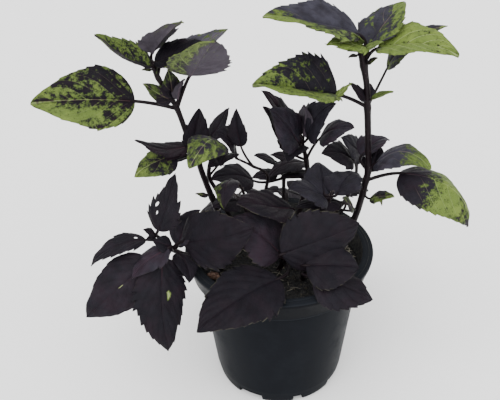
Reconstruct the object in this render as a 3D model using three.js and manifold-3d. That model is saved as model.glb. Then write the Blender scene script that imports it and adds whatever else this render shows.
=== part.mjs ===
// A red basil plant in its nursery pot: the pot, the potting soil that fills it, a bark chip
// that lies on the soil, and one solid for each leafy shoot.
// Millimetres, +Z up, origin at the centre of the pot's underside, -Y towards the viewer.
import * as THREE from "three";
import { mergeVertices } from "three/addons/utils/BufferGeometryUtils.js";
import Module from "manifold-3d";

const wasm = await Module();
wasm.setup();

// The pot: a 12 cm nursery pot with a folded collar and feet parted by slots.
const RIM_RADIUS = 60;
const POT_HEIGHT = 98.5;
const LIP_WIDTH = 6.9;
const COLLAR_HEIGHT = 14.3;
const COLLAR_FOOT_RADIUS = 55.9;
const NECK_RADIUS = 52;
const HEEL_RADIUS = 43.2;
const HEEL_HEIGHT = 10.4;
const BASE_RADIUS = 39.4;
const WALL = 1.3;
const FLOOR = 8.5;
const POT_SIDES = 36;
const SLOT_HEIGHT = 6;
const SLOT_DEPTH = 5;
const WIDE_SLOT = 17;
const NARROW_SLOT = 7;
const FIRST_WIDE_SLOT_ANGLE = -30;
const FIRST_NARROW_SLOT_ANGLE = 15;

// The soil, uneven on top, and the chip that lies in it.
const SOIL_HEIGHT = 87;
const SOIL_RELIEF = 0.9;
const SOIL_RINGS = [43, 30, 15];
const GAP = 0.3;
const CHIP_PLACE = [-41.5, -16.5, 88.2];
const CHIP_LENGTH = 8.5;
const CHIP_WIDTH = 5.6;
const CHIP_HEIGHT = 2.4;
const CHIP_TURN = -20;

// The foliage.
const SKYWARD = new THREE.Vector3(0.05, -0.15, 1);
const BLADE_THICKNESS = 0.7;
const CURL = 0.12;
const TOOTH_REACH = 0.1;
const TOOTH_LEAN = 0.3;
const WIDE_BLADE = 36;
const TOOTH_STEPS = [[34, 5], [26, 4], [15, 3], [0, 2]];
const MID_COLUMN = 0.55;
const STEM_SIDES = 5;
const STALK_SIDES = 3;
const HOLE_DEPTH_STEPS = 3;

// Each shoot has its stem's route, [x, y, z, radius] from its foot in the soil to its tip, and its
// leaves: [route point that the stalk grows from, blade's base, blade's tip, width, roll, fold,
// arch, sideways bend]. Roll and fold are in degrees.
const SHOOTS = [
  {
    "name": "stem_left_tall", "colour": "green",
    "route": [[-22, 14, 82, 2.1], [-33, 15, 100, 2.0], [-41.5, 14, 127, 2.0], [-46.5, 12, 146, 1.9],
              [-49, 10, 159, 1.8], [-53, 9, 171, 1.7], [-58, 5, 193, 1.6], [-63, 4, 204, 1.6],
              [-67, 3, 213, 1.5], [-69, 3, 220, 1.2], [-69, 3, 223, 0.7]],
    "leaves": [
      [6, [-81, 1, 200], [-137, -9, 205], 40, 40, 20, 1, 1],
      [6, [-49, 2, 214], [-33, -26, 244], 34, 20, 5, 0, 0],
      [6, [-60, 1, 200], [-74, -5, 213], 12, 40, 10, 0, -1],
      [6, [-60, 4, 200], [-61, 4, 217], 14, 10, 10, 1, 0],
      [6, [-57, 2, 200], [-52, 0, 213], 10, 35, 20, 1, 0],
      [8, [-70, 1, 220], [-95, -10, 243], 25, 10, 35, -3, -1],
      [8, [-69, 4, 227], [-50, -11, 249], 25, 15, 20, 1, 1],
      [8, [-68, 3, 222], [-40, -1, 234], 22, -15, 20, 0, 1],
      [8, [-59, 9, 225], [-28, 16, 236], 20, -5, 12, -3, 0],
      [9, [-70, 2, 218], [-75, 0, 219], 4, 0, 10, 0, 0],
      [9, [-68, 3, 215], [-66, 3, 222], 6, 0, 30, 0, 0],
      [4, [-51, 8, 163], [-46, 18, 187], 20, -45, 20, 1, -1],
      [4, [-36, -1, 175], [-51, -27, 171], 25, 8, -10, 9, -1],
      [4, [-52, 6, 169], [-82, -4, 179], 18, -5, 5, -5, 0],
      [4, [-61, 4, 163], [-85, -9, 157], 21, 15, -10, 1, 2],
      [4, [-53, 8, 160], [-69, 4, 156], 9, -15, 10, 1, 0],
      [4, [-53, 7, 167], [-69, 0, 161], 8, 20, 10, 1, 0],
      [2, [-44, 15, 128], [-52, 15, 130], 5, 0, 0, 0, 0],
    ],
  },
  {
    "name": "stem_left_inner", "colour": "dark",
    "route": [[-17, 21, 82, 1.6], [-29, 20, 104, 1.5], [-38, 20, 127, 1.4], [-43, 19, 140, 1.3],
              [-41, 17, 154, 1.1], [-40, 15, 163, 0.8]],
    "leaves": [
      [4, [-41, 19, 167], [-29, 20, 186], 14, -10, 5, 0, 1],
      [3, [-35, 12, 156], [-42, 1, 156], 10, 15, 10, 1, 0],
    ],
  },
  {
    "name": "stem_left_thin", "colour": "dark",
    "route": [[-6, 22, 82, 1.2], [-8, 22, 119, 1.1], [-6, 18, 140, 1.0], [-15, 12, 150, 0.9],
              [-25, 8, 158, 0.7]],
    "leaves": [
      [3, [-22, 8, 166], [-24, 9, 190], 12, 35, 20, 1, -1],
      [4, [-26, 12, 165], [-36, 2, 179], 19, 40, 10, 2, 0],
      [4, [-28, 7, 162], [-34, -8, 162], 15, -10, 10, 2, 0],
    ],
  },
  {
    "name": "stem_right_tall", "colour": "green",
    "route": [[33, 8, 82, 2.2], [45, 8, 102, 2.1], [50, 8, 116, 2.0], [53, 7, 132, 1.9], [54, 6, 141, 1.9],
              [55, 6, 149, 1.9], [53.5, 5, 169, 1.8], [51.5, 4, 191, 1.9], [50, 3, 205, 1.7],
              [47.5, 2, 217, 2.0], [45.5, 1, 226, 1.9], [45, 1, 230, 0.8]],
    "leaves": [
      [9, [44, 4, 234], [-8, -10, 250.5], 35, 12, 20, 1, 2],
      [9, [50, 4, 228], [72, 25, 246], 29, 15, 15, 2, 1],
      [10, [45, 0, 230], [39, -4, 238], 7, -25, 10, 0, 0],
      [9, [54, 1, 227], [93, -20, 230], 33, -10, 20, 4, -1],
      [7, [64, 18, 209], [91, 2, 239], 14, -40, 10, 6, -1],
      [9, [47, -1, 229], [25, -12, 235], 18, 5, 5, 1, 0],
      [10, [46, -2, 228], [55, -8, 234], 10, -10, 5, 0, 0],
      [9, [49, 0, 219], [54, -2, 223], 6, -10, 10, 0, 0],
      [9, [43, 0, 224], [38, -3, 224], 4, 0, 10, 0, 0],
      [7, [33, 0, 201], [-14, -17, 216], 45, 18, 38, 1, -1],
      [7, [50, 2, 196], [40, 0, 208], 9, 25, 15, 0, 0],
      [7, [53, 6, 195], [53, 8, 204], 7, -15, 15, 0, 0],
      [7, [53, 2, 197], [64, -2, 203], 8, 0, 20, 0, 0],
      [5, [58, 4, 153], [89, -11, 158], 28, 0, -5, 10, -1],
      [4, [74, 2, 148], [117, -12, 117], 39, -10, -30, 14, -2],
      [5, [52, 16, 153], [72, 30, 157], 20, 10, 20, 4, 0],
      [4, [57, 8, 146], [65, 21, 156], 17, 20, 10, 1, 0],
      [3, [57, 3, 130], [70, -5, 136], 13, -5, 5, 1, 0],
    ],
  },
  {
    "name": "stem_right_inner", "colour": "dark",
    "route": [[27, 32, 82, 1.3], [46, 32, 111, 1.2], [52, 33, 127, 1.1], [53, 34, 140, 0.8]],
    "leaves": [
      [3, [56, 34, 143], [41, 27, 161], 20, 30, 5, 1, 0],
      [2, [49, 28, 144], [28, 22, 153], 24, 12, 5, 3, 0],
    ],
  },
  {
    "name": "stem_centre_tall", "colour": "dark",
    "route": [[10, 24, 82, 1.8], [16, 26, 112, 1.7], [20, 27, 132, 1.6], [19, 26, 146, 1.5],
              [16, 24, 159, 1.2], [15, 23, 166, 0.7]],
    "leaves": [
      [4, [10, 26, 171], [-8, 22, 196], 18, 15, 10, 0, 0],
      [3, [9, 30, 151], [-7, 26, 184], 19, 20, 10, 1, 0],
      [4, [14, 21, 160], [-4, 13, 188], 28, 40, 5, 2, 0],
      [4, [19, 20, 165], [34, 12, 191], 25, -35, 10, 4, -1],
      [4, [17, 24, 164], [17, 20, 187], 22, 0, 10, 1, 0],
      [3, [15, 26, 157], [6, 8, 155], 16, -10, 5, 2, 0],
      [3, [26, 16, 166], [45, 6, 178], 21, -15, 0, 3, 0],
    ],
  },
  {
    "name": "stem_centre_left", "colour": "dark",
    "route": [[-2, 36, 82, 1.4], [5, 42, 103, 1.3], [6, 46, 122, 1.2], [9, 46, 129, 1.0],
              [12, 46, 135, 0.6]],
    "leaves": [
      [2, [0, 44, 136], [-14, 40, 143], 12, 0, 0, 1, 0],
      [3, [11, 46, 135], [-3, 42, 142], 11, 10, 5, 1, 0],
      [3, [19, 40, 137], [-6, 28, 132], 22, -15, 0, 4, 0],
      [2, [25, 38, 129], [2, 32, 130], 13, -10, -5, 3, 0],
      [2, [-15, 38, 125], [-43, 30, 132], 25, 8, 5, 4, 0],
      [2, [1, 40, 129], [-16, 35, 129], 14, 0, 0, 1, 0],
    ],
  },
  {
    "name": "stem_left_small", "colour": "dark",
    "route": [[-13, 6, 82, 1.3], [-16, 5, 111, 1.2], [-20, 4, 131, 1.1], [-23, 4, 141, 0.7]],
    "leaves": [
      [3, [-29, 3, 146], [-33, -22, 141], 15, -15, 0, 4, 0],
      [2, [-25, -4, 136], [-39, -19, 141], 17, 5, -5, 0, 0],
    ],
  },
  {
    "name": "stem_centre_right", "colour": "dark",
    "route": [[16, -2, 82, 1.7], [21, -5, 109, 1.6], [28, -8, 132, 1.5], [31, -9, 140, 1.2],
              [32, -8, 143, 0.6]],
    "leaves": [
      [3, [27, -8, 141], [27, 21, 147], 25, -15, 5, 1, 0],
      [3, [34, -10, 141], [50, 15, 142], 24, 5, 10, 3, -1],
      [3, [28, -10, 139], [5, -21, 154], 24, 5, 0, 2, 0],
      [1, [38, -5, 133], [9, -14, 136], 19, -10, -5, 2, 0],
      [2, [44, -14, 134], [37, -16, 143], 13, 5, 5, 0, 0],
    ],
  },
  {
    "name": "stem_front_left", "colour": "dark",
    "route": [[-2, -8, 82, 1.7], [2, -14, 96, 1.6], [4, -15, 113, 1.4], [7, -14, 125, 1.0]],
    "leaves": [
      [3, [8, -8, 131], [-25, -25, 147], 34, 0, 8, 0, 0],
      [1, [0, -27, 111], [-29, -25, 137], 33, 30, 10, 3, 1],
      [1, [-2, -44, 106], [-49, -77, 97], 39, 8, 5, 4, 1],
    ],
  },
  {
    "name": "stem_front_right", "colour": "dark",
    "route": [[14, -18, 82, 1.7], [14, -24, 95, 1.6], [11, -28, 106, 1.4], [8, -30, 111, 1.0]],
    "leaves": [
      [3, [0, -38, 119], [46, -29, 133], 38, -65, -5, 2, 0],
      [2, [14, -40, 112], [45, -42, 111], 31, -25, 5, 3, 0],
      [1, [18, -45, 107], [53, -50, 94], 33, -10, -5, 2, 0],
    ],
  },
  {
    "name": "stem_low_left", "colour": "dark",
    "route": [[-34, -6, 82, 1.8], [-46, -12, 99, 1.8], [-56, -19, 106, 1.7], [-65, -24, 115, 1.5],
              [-69, -24, 120, 1.3], [-74, -23, 125, 0.9]],
    "leaves": [
      [3, [-58, -24, 120], [-16, -42, 140], 35, -60, 0, 2, 2],
      [3, [-62, -20, 114], [-48, -10, 134], 22, 10, 20, 2, 0],
      [3, [-61, -26, 113], [-54, -43, 104], 17, 25, 10, 2, -1],
      [5, [-72, -25, 129], [-61, -12, 159], 25, 15, 5, 0, 1],
      [4, [-80, -24, 122], [-113, -34, 112], 18, -5, 10, 5, 0],
      [5, [-74, -24, 125], [-80, -26, 131], 8, 5, 10, 0, 0],
      [5, [-74, -24, 124], [-79, -28, 125], 5, 0, 10, 0, 0],
      [3, [-77, -34, 114], [-118, -45, 81], 32, 46, -5, 3, 0],
      [3, [-69, -38, 118], [-68, -58, 64], 32, 20, -5, 2, 3],
      [3, [-66, -33, 122], [-87, -46, 111], 20, -10, 0, 2, 0],
      [3, [-64, -30, 120], [-74, -33, 127], 14, 15, 0, 1, 0],
    ],
  },
  {
    "name": "stem_back_left", "colour": "dark",
    "route": [[-16, 38, 82, 1.6], [-20, 43, 98, 1.5], [-25, 49, 104, 1.3], [-29, 57, 104, 1.0]],
    "leaves": [
      [3, [-32, 63, 97], [-48, 87, 67], 28, 5, -5, 4, 0],
      [3, [-30, 68, 97], [-34, 90, 67], 31, 0, -5, 4, 0],
      [2, [-22, 66, 101], [-10, 88, 84], 22, -5, -5, 3, 0],
      [2, [-36, 54, 100], [-55, 60, 84], 18, 0, 0, 2, 0],
    ],
  },
  {
    "name": "stem_back_middle", "colour": "dark",
    "route": [[6, 40, 82, 1.5], [7, 45, 98, 1.4], [8, 52, 104, 1.3], [8, 59, 104, 1.1]],
    "leaves": [
      [3, [9, 68, 99], [16, 94, 71], 33, 0, -5, 4, 0],
      [2, [11, 63, 103], [21, 75, 99], 13, 0, 10, 2, 0],
      [2, [2, 60, 103], [-8, 68, 99], 12, 0, 10, 1, 0],
    ],
  },
  {
    "name": "stem_back_right", "colour": "dark",
    "route": [[22, 36, 82, 1.6], [27, 40, 98, 1.5], [33, 47, 106, 1.3], [38, 54, 108, 1.0]],
    "leaves": [
      [3, [44, 61, 107], [68, 80, 92], 32, 5, -5, 5, 0],
      [3, [40, 63, 106], [40, 92, 80], 31, 0, -5, 5, 0],
      [2, [44, 50, 108], [64, 58, 104], 20, 0, 5, 3, 0],
      [2, [30, 56, 108], [18, 66, 112], 14, 0, 10, 2, 0],
    ],
  },
];

function material(colour, roughness, metalness = 0) {
  return new THREE.MeshStandardMaterial({ color: colour, roughness, metalness });
}

const MATERIALS = {
  pot: material(0x2b2d2f, 0.45),
  soil: material(0x241c17, 0.95),
  bark: material(0x8a5230, 0.8),
  dark: material(0x35283a, 0.5),
  green: material(0x5c6b30, 0.5),
};

// Solids for joining and cutting, and back again.
function toSolid(geometry) {
  const bare = new THREE.BufferGeometry();
  bare.setAttribute("position", geometry.getAttribute("position").clone());
  if (geometry.index) bare.setIndex(geometry.index.clone());
  const merged = mergeVertices(bare, 1e-4);
  const corners = [];
  for (let i = 0; i < merged.index.count; i += 3) {
    const [a, b, c] = [0, 1, 2].map((k) => merged.index.getX(i + k));
    if (a !== b && b !== c && c !== a) corners.push(a, b, c);
  }
  return new wasm.Manifold(new wasm.Mesh({
    numProp: 3,
    vertProperties: new Float32Array(merged.getAttribute("position").array),
    triVerts: new Uint32Array(corners),
  }));
}

function toGeometry(solid) {
  const mesh = solid.getMesh();
  const geometry = new THREE.BufferGeometry();
  geometry.setAttribute("position", new THREE.BufferAttribute(new Float32Array(mesh.vertProperties), 3));
  geometry.setIndex(new THREE.BufferAttribute(new Uint32Array(mesh.triVerts), 1));
  geometry.computeVertexNormals();
  return geometry;
}

function named(name, solid, look) {
  const mesh = new THREE.Mesh(toGeometry(solid), look);
  mesh.name = name;
  return mesh;
}

function joined(solids) {
  return solids.slice(1).reduce((whole, solid) => whole.add(solid), solids[0]);
}

function facets(points, triangles) {
  const geometry = new THREE.BufferGeometry();
  const places = points.flatMap((point) => [point.x, point.y, point.z]);
  geometry.setAttribute("position", new THREE.BufferAttribute(new Float32Array(places), 3));
  geometry.setIndex(triangles.flat());
  return geometry;
}

// A turned body: the profile's radii and heights become x and y of a lathe that stands on +Z.
function turned(profile) {
  const points = profile.map(([radius, height]) => new THREE.Vector2(radius, height));
  return new THREE.LatheGeometry(points, POT_SIDES).rotateX(Math.PI / 2);
}

// The wall's outer radius at a height between the heel and the neck.
const neckHeight = POT_HEIGHT - COLLAR_HEIGHT;
const lipRadius = RIM_RADIUS - LIP_WIDTH;
const lipUnderside = POT_HEIGHT - WALL;

function innerRadius(height) {
  const heel = HEEL_RADIUS - WALL;
  const neck = NECK_RADIUS - WALL;
  if (height < neckHeight) {
    return heel + (neck - heel) * (height - HEEL_HEIGHT) / (neckHeight - HEEL_HEIGHT);
  }
  return neck + (lipRadius - neck) * (height - neckHeight) / COLLAR_HEIGHT;
}

function slotCutter(angle, width) {
  const box = new THREE.BoxGeometry(width, 2 * SLOT_DEPTH, 2 * SLOT_HEIGHT);
  box.translate(0, -BASE_RADIUS - 1, 0);
  box.rotateZ(angle * Math.PI / 180);
  return toSolid(box);
}

function potSolid() {
  const edge = 0.6;
  const profile = [
    [0, 0], [BASE_RADIUS, 0], [41.2, 1.6], [42.2, 5], [HEEL_RADIUS, HEEL_HEIGHT],
    [NECK_RADIUS, neckHeight], [lipRadius + WALL, lipUnderside],
    [RIM_RADIUS - WALL - 0.4, lipUnderside], [COLLAR_FOOT_RADIUS - WALL, neckHeight],
    [COLLAR_FOOT_RADIUS, neckHeight], [RIM_RADIUS - 0.1, POT_HEIGHT - edge],
    [RIM_RADIUS - 0.1 - edge, POT_HEIGHT], [lipRadius + edge, POT_HEIGHT],
    [lipRadius, POT_HEIGHT - edge], [NECK_RADIUS - WALL, neckHeight],
    [HEEL_RADIUS - WALL, HEEL_HEIGHT], [BASE_RADIUS + 0.4, FLOOR], [0, FLOOR],
  ];
  let pot = toSolid(turned(profile));
  for (let turn = 0; turn < 4; turn += 1) {
    pot = pot.subtract(slotCutter(FIRST_WIDE_SLOT_ANGLE + 90 * turn, WIDE_SLOT));
    pot = pot.subtract(slotCutter(FIRST_NARROW_SLOT_ANGLE + 90 * turn, NARROW_SLOT));
  }
  return pot;
}

function soilHeight(x, y) {
  const lumps = Math.sin(x / 5.3 + 0.7) * Math.cos(y / 6.1) + 0.5 * Math.sin(x / 2.9 + y / 3.4);
  return SOIL_HEIGHT + SOIL_RELIEF * lumps;
}

function soilSolid(cutters) {
  const edgeHeight = SOIL_HEIGHT - 1;
  const profile = [
    [0, FLOOR + GAP], [BASE_RADIUS - GAP, FLOOR + GAP], [HEEL_RADIUS - WALL - GAP, HEEL_HEIGHT + GAP],
    [NECK_RADIUS - WALL - GAP, neckHeight], [innerRadius(edgeHeight) - GAP, edgeHeight],
    ...SOIL_RINGS.map((radius) => [radius, SOIL_HEIGHT]), [0, SOIL_HEIGHT],
  ];
  const geometry = turned(profile);
  const places = geometry.getAttribute("position");
  for (let i = 0; i < places.count; i += 1) {
    if (Math.abs(places.getZ(i) - SOIL_HEIGHT) < 1e-6) {
      places.setZ(i, soilHeight(places.getX(i), places.getY(i)));
    }
  }
  return cutters.reduce((soil, cutter) => soil.subtract(cutter), toSolid(geometry));
}

// A broken chip: a blunt wedge, grown by the gap for the bed that it lies in.
function chipSolid(grow) {
  const [half, side] = [CHIP_LENGTH / 2 + grow, CHIP_WIDTH / 2 + grow];
  const outline = new THREE.Shape([
    new THREE.Vector2(-half, -side * 0.5), new THREE.Vector2(-half * 0.55, -side),
    new THREE.Vector2(half * 0.7, -side * 0.85), new THREE.Vector2(half, 0),
    new THREE.Vector2(half * 0.45, side), new THREE.Vector2(-half * 0.7, side * 0.8),
  ]);
  const chip = new THREE.ExtrudeGeometry(outline, { depth: CHIP_HEIGHT + 2 * grow, bevelEnabled: false });
  chip.translate(0, 0, -CHIP_HEIGHT / 2 - grow);
  chip.rotateY(0.18);
  chip.rotateZ(CHIP_TURN * Math.PI / 180);
  chip.translate(...CHIP_PLACE);
  return toSolid(chip);
}

// A tapered tube through rings of points.
function tube(centres, radii, sides) {
  const points = [];
  const triangles = [];
  centres.forEach((centre, i) => {
    const ahead = centres[Math.min(i + 1, centres.length - 1)];
    const behind = centres[Math.max(i - 1, 0)];
    const along = ahead.clone().sub(behind).normalize();
    const across = new THREE.Vector3(0.31, 1, 0.13).cross(along).normalize();
    const third = along.clone().cross(across);
    for (let k = 0; k < sides; k += 1) {
      const angle = 2 * Math.PI * k / sides;
      points.push(centre.clone()
        .addScaledVector(across, radii[i] * Math.cos(angle))
        .addScaledVector(third, radii[i] * Math.sin(angle)));
    }
  });
  for (let i = 0; i + 1 < centres.length; i += 1) {
    for (let k = 0; k < sides; k += 1) {
      const [a, b] = [i * sides + k, i * sides + (k + 1) % sides];
      triangles.push([a, b, b + sides], [a, b + sides, a + sides]);
    }
  }
  const last = (centres.length - 1) * sides;
  for (let k = 1; k + 1 < sides; k += 1) {
    triangles.push([0, k + 1, k], [last, last + k, last + k + 1]);
  }
  return toSolid(facets(points, triangles));
}

function vector([x, y, z]) {
  return new THREE.Vector3(x, y, z);
}

// The stem's curve through its route, with one step for each stretch, two at its foot.
function stemCentres(route) {
  const curve = new THREE.CatmullRomCurve3(route.map(vector), false, "catmullrom", 0.5);
  const centres = route.map(vector);
  const radii = route.map((point) => point[3]);
  centres.splice(1, 0, curve.getPoint(0.5 / (route.length - 1)));
  radii.splice(1, 0, (radii[0] + radii[1]) / 2);
  return [centres, radii];
}

function stemSolid(route) {
  const [centres, radii] = stemCentres(route);
  return tube(centres, radii, STEM_SIDES);
}

// The plain hole in the soil around a stem's foot.
function holeCutter(route) {
  const [centres, radii] = stemCentres(route);
  const foot = centres.slice(0, HOLE_DEPTH_STEPS);
  const down = foot[0].clone().sub(foot[1]).normalize();
  foot[0].addScaledVector(down, GAP);
  return tube(foot, radii.slice(0, HOLE_DEPTH_STEPS).map((radius) => radius * 1.02 + 1.2 * GAP), STEM_SIDES);
}

// A blade's own axes: along it, to its right-hand side and out of its upper face.
function bladeFrame(base, tip, roll) {
  const along = tip.clone().sub(base);
  const length = along.length();
  along.normalize();
  const flatUp = SKYWARD.clone().addScaledVector(along, -SKYWARD.dot(along)).normalize();
  const flatSide = along.clone().cross(flatUp);
  const angle = roll * Math.PI / 180;
  const side = flatSide.clone().multiplyScalar(Math.cos(angle)).addScaledVector(flatUp, Math.sin(angle));
  const up = flatUp.clone().multiplyScalar(Math.cos(angle)).addScaledVector(flatSide, -Math.sin(angle));
  return { along, side, up, length };
}

function outline(u) {
  return Math.sin(Math.PI * u ** 0.7) ** 0.7 * (1 - 0.25 * u ** 3);
}

// The blade's middle sheet: u from base to tip, v across from -1 to 1.
function sheet([, base, tip, width, roll, fold, arch, bend]) {
  const start = vector(base);
  const { along, side, up, length } = bladeFrame(start, vector(tip), roll);
  const angle = fold * Math.PI / 180;
  return (u, v) => {
    const inside = Math.min(Math.max(u, 0), 1);
    const half = width / 2 * outline(inside);
    const bow = 4 * inside * (1 - inside);
    return start.clone()
      .addScaledVector(along, length * u)
      .addScaledVector(up, arch * bow + half * (Math.abs(v) * Math.sin(angle) - CURL * v * v))
      .addScaledVector(side, bend * bow + half * v * Math.cos(angle));
  };
}

function sheetNormal(surface, u, v) {
  const [safe, step] = [Math.min(Math.max(u, 0.04), 0.96), 0.02];
  const along = surface(safe + step, v).sub(surface(safe - step, v));
  const across = surface(safe, v + step).sub(surface(safe, v - step));
  return across.cross(along).normalize();
}

// How many teeth a blade of this width has on each side.
function teethOf(width) {
  return TOOTH_STEPS.find(([least]) => width >= least)[1];
}

// Rows of blade points: a valley and a tooth in turn, and one point at the base and at the tip.
function bladeRows(width) {
  const count = 2 * teethOf(width);
  const columns = width >= WIDE_BLADE ? [-1, -MID_COLUMN, 0, MID_COLUMN, 1] : [-1, 0, 1];
  const rows = [[[0, 0]]];
  for (let i = 1; i < count; i += 1) {
    const isTooth = i % 2 === 1;
    const u = (i / count) ** 1.2;
    rows.push(columns.map((v) => {
      const atEdge = Math.abs(v) === 1;
      const reach = atEdge && isTooth ? 1 + TOOTH_REACH : 1;
      const lean = atEdge && isTooth ? TOOTH_LEAN / count : 0;
      return [u + lean, v * reach];
    }));
  }
  rows.push([[1, 0]]);
  return rows;
}

function bladeSolid(leaf) {
  const surface = sheet(leaf);
  const rows = bladeRows(leaf[3]);
  const points = [];
  const triangles = [];
  const index = rows.map((row) => row.map(([u, v]) => {
    const normal = sheetNormal(surface, u, v);
    const middle = surface(u, v);
    points.push(middle.clone().addScaledVector(normal, BLADE_THICKNESS / 2));
    points.push(middle.clone().addScaledVector(normal, -BLADE_THICKNESS / 2));
    return points.length - 2;
  }));
  // Every upper triangle has its like below, wound the other way.
  const both = (a, b, c) => triangles.push([a, b, c], [a + 1, c + 1, b + 1]);
  const rim = (a, b) => triangles.push([a, b, b + 1], [a, b + 1, a + 1]);
  for (let i = 0; i + 1 < index.length; i += 1) {
    const [low, high] = [index[i], index[i + 1]];
    const across = Math.max(low.length, high.length) - 1;
    for (let j = 0; j < across; j += 1) {
      if (low.length === 1) both(low[0], high[j + 1], high[j]);
      else if (high.length === 1) both(low[j], low[j + 1], high[0]);
      else if (j < across / 2) both(low[j], low[j + 1], high[j]), both(low[j + 1], high[j + 1], high[j]);
      else both(low[j], low[j + 1], high[j + 1]), both(low[j], high[j + 1], high[j]);
    }
    rim(low[0], high[0]);
    rim(high.at(-1), low.at(-1));
  }
  return toSolid(facets(points, triangles));
}

// The stalk bends from the stem into the blade and runs on under its midrib.
function stalkSolid(leaf, route) {
  const [at, base, tip, width] = leaf;
  const from = vector(route[at]);
  const neck = vector(base);
  const length = neck.distanceTo(vector(tip));
  const surface = sheet(leaf);
  const leaving = surface(0.04, 0).sub(neck).normalize();
  const reach = from.distanceTo(neck);
  const bendPoint = neck.clone().addScaledVector(leaving, -0.4 * reach);
  const curve = new THREE.QuadraticBezierCurve3(from, bendPoint, neck);
  const steps = Math.min(Math.max(Math.round(reach / 6), 1), 4);
  const centres = curve.getPoints(steps);
  centres.push(surface(Math.min(2.5, 0.2 * length) / length, 0));
  const thick = Math.min(0.5 + 0.012 * width, 0.95);
  const radii = centres.map((_, i) => thick * (1.25 - 0.35 * i / centres.length));
  radii[radii.length - 1] = 0.33;
  return tube(centres, radii, STALK_SIDES);
}

function shootSolid({ route, leaves }) {
  const parts = [stemSolid(route)];
  for (const leaf of leaves) parts.push(stalkSolid(leaf, route), bladeSolid(leaf));
  return joined(parts);
}

const group = new THREE.Group();
group.add(named("pot", potSolid(), MATERIALS.pot));
const beds = SHOOTS.map(({ route }) => holeCutter(route));
group.add(named("potting_soil", soilSolid([...beds, chipSolid(1.3 * GAP)]), MATERIALS.soil));
group.add(named("bark_chip", chipSolid(0), MATERIALS.bark));
for (const shoot of SHOOTS) {
  group.add(named(shoot.name, shootSolid(shoot), MATERIALS[shoot.colour]));
}

export default group;
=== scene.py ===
"""A red basil plant in its nursery pot, dressed over its plain solids.

Every shoot, the soil, the chip and the pot get a fine piece in place of their plain solid. The
leaves repeat the plain solids' sheets: same base, tip, width, roll, fold, arch and bend. Lengths
are in millimetres.
"""

import math

import bpy
import numpy as np
from mathutils import Matrix, Quaternion, Vector


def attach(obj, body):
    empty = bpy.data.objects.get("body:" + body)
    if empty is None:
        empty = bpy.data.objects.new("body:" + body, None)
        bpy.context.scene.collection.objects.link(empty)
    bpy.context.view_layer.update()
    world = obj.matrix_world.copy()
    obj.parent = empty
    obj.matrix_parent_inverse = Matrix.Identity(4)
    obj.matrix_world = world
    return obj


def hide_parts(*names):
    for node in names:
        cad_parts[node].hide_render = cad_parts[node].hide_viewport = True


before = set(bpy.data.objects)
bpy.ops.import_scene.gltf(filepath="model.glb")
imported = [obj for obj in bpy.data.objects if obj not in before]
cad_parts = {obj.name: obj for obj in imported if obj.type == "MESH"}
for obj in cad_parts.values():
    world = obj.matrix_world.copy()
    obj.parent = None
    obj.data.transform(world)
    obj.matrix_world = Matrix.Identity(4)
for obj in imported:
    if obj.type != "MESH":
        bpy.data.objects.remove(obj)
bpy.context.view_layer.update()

MM = 0.001
SEED = 20
SOIL_SEED = SEED + 100
CHIP_SEED = SEED + 200
FULL_TURN = 2 * math.pi

# The pot, as in the plain model.
RIM_RADIUS = 60.0
POT_HEIGHT = 98.5
LIP_WIDTH = 6.9
COLLAR_HEIGHT = 14.3
COLLAR_FOOT_RADIUS = 55.9
NECK_RADIUS = 52
HEEL_RADIUS = 43.2
HEEL_HEIGHT = 10.4
BASE_RADIUS = 39.4
WALL = 1.3
FLOOR = 8.5
NECK_HEIGHT = POT_HEIGHT - COLLAR_HEIGHT
LIP_RADIUS = RIM_RADIUS - LIP_WIDTH
SLOT_HEIGHT = 6.0
SLOT_DEPTH = 5.0
WIDE_SLOT = 17.0
NARROW_SLOT = 7.0
FIRST_WIDE_SLOT_ANGLE = -30.0
FIRST_NARROW_SLOT_ANGLE = 15.0
POT_SIDES = 160
SHARP_FOLD = math.radians(32)
# A pot face that leans inward by more than this, in metres, gets a lighter, grainy colour: painted light on
# the inner wall, which lies in deep shade.
INNER_WALL_SLANT = 0.02
# Rounded edges of the pot, each point as (outward, upward) from where the name says.
FOOT_EDGE = ((-1.2, 0), (-0.3, 0.15), (0.4, 0.6))
FOOT_SIDE = ((41.2, 1.6), (41.7, 3.2), (42.2, 5), (42.5, 7.5))
HEEL_EDGE = ((-0.06, -0.7), (0.12, 0.5))
NECK_EDGE = ((-0.3, -2.5), (0, -0.4), (0.12, 0))
COLLAR_FOOT_EDGE = ((-WALL, 0.1), (-0.9, -0.05), (-0.15, 0), (0.1, 0.3), (0.12, 1.0), (0.3, 1.5))
RIM_EDGE = ((-0.75, -3.2), (-0.45, -2.7), (-0.1, -0.9), (-0.12, -0.5), (-0.35, -0.15), (-0.7, 0),
            (-2.6, -0.02), (-2.9, -0.22), (-4.4, -0.22), (-4.7, -0.02))
LIP_EDGE = ((0.7, 0), (0.2, -0.2), (0, -0.6))

# The soil and the chip on it.
SOIL_HEIGHT = 87.0
SOIL_RELIEF = 0.9
SOIL_EDGE_DROP = 1.0
SOIL_SIDES = 200
SOIL_RINGS = 66
# Crumbly relief: the size of its waves and their height.
CRUMBLE = ((2.6, 0.32), (1.3, 0.24), (0.7, 0.16))
CRUMBLE_WAVES = 4
GAP = 0.3
CRUMBS = 620
SMALL_PERLITE = 14
FIBRES = 110
CRUMB_SIZES = (0.4, 1.5)
SMALL_PERLITE_SIZES = (0.35, 0.8)
LUMP_SIDES = 6
FIBRE_LENGTHS = (2.5, 8)
FIBRE_RADII = (0.09, 0.22)
FIBRE_POINTS = 6
FIBRE_SIDES = 5
CHIP_PLACE = (-41.5, -16.5, 88.2)
CHIP_LENGTH = 8.5
CHIP_WIDTH = 5.6
CHIP_HEIGHT = 2.4
CHIP_TURN = math.radians(-20)
CHIP_TILT = 0.18
# The chip's corners, as shares of its half length and half width.
CHIP_CORNERS = ((-1, -0.5), (-0.55, -1), (0.7, -0.85), (1, 0), (0.45, 1), (-0.7, 0.8))
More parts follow.
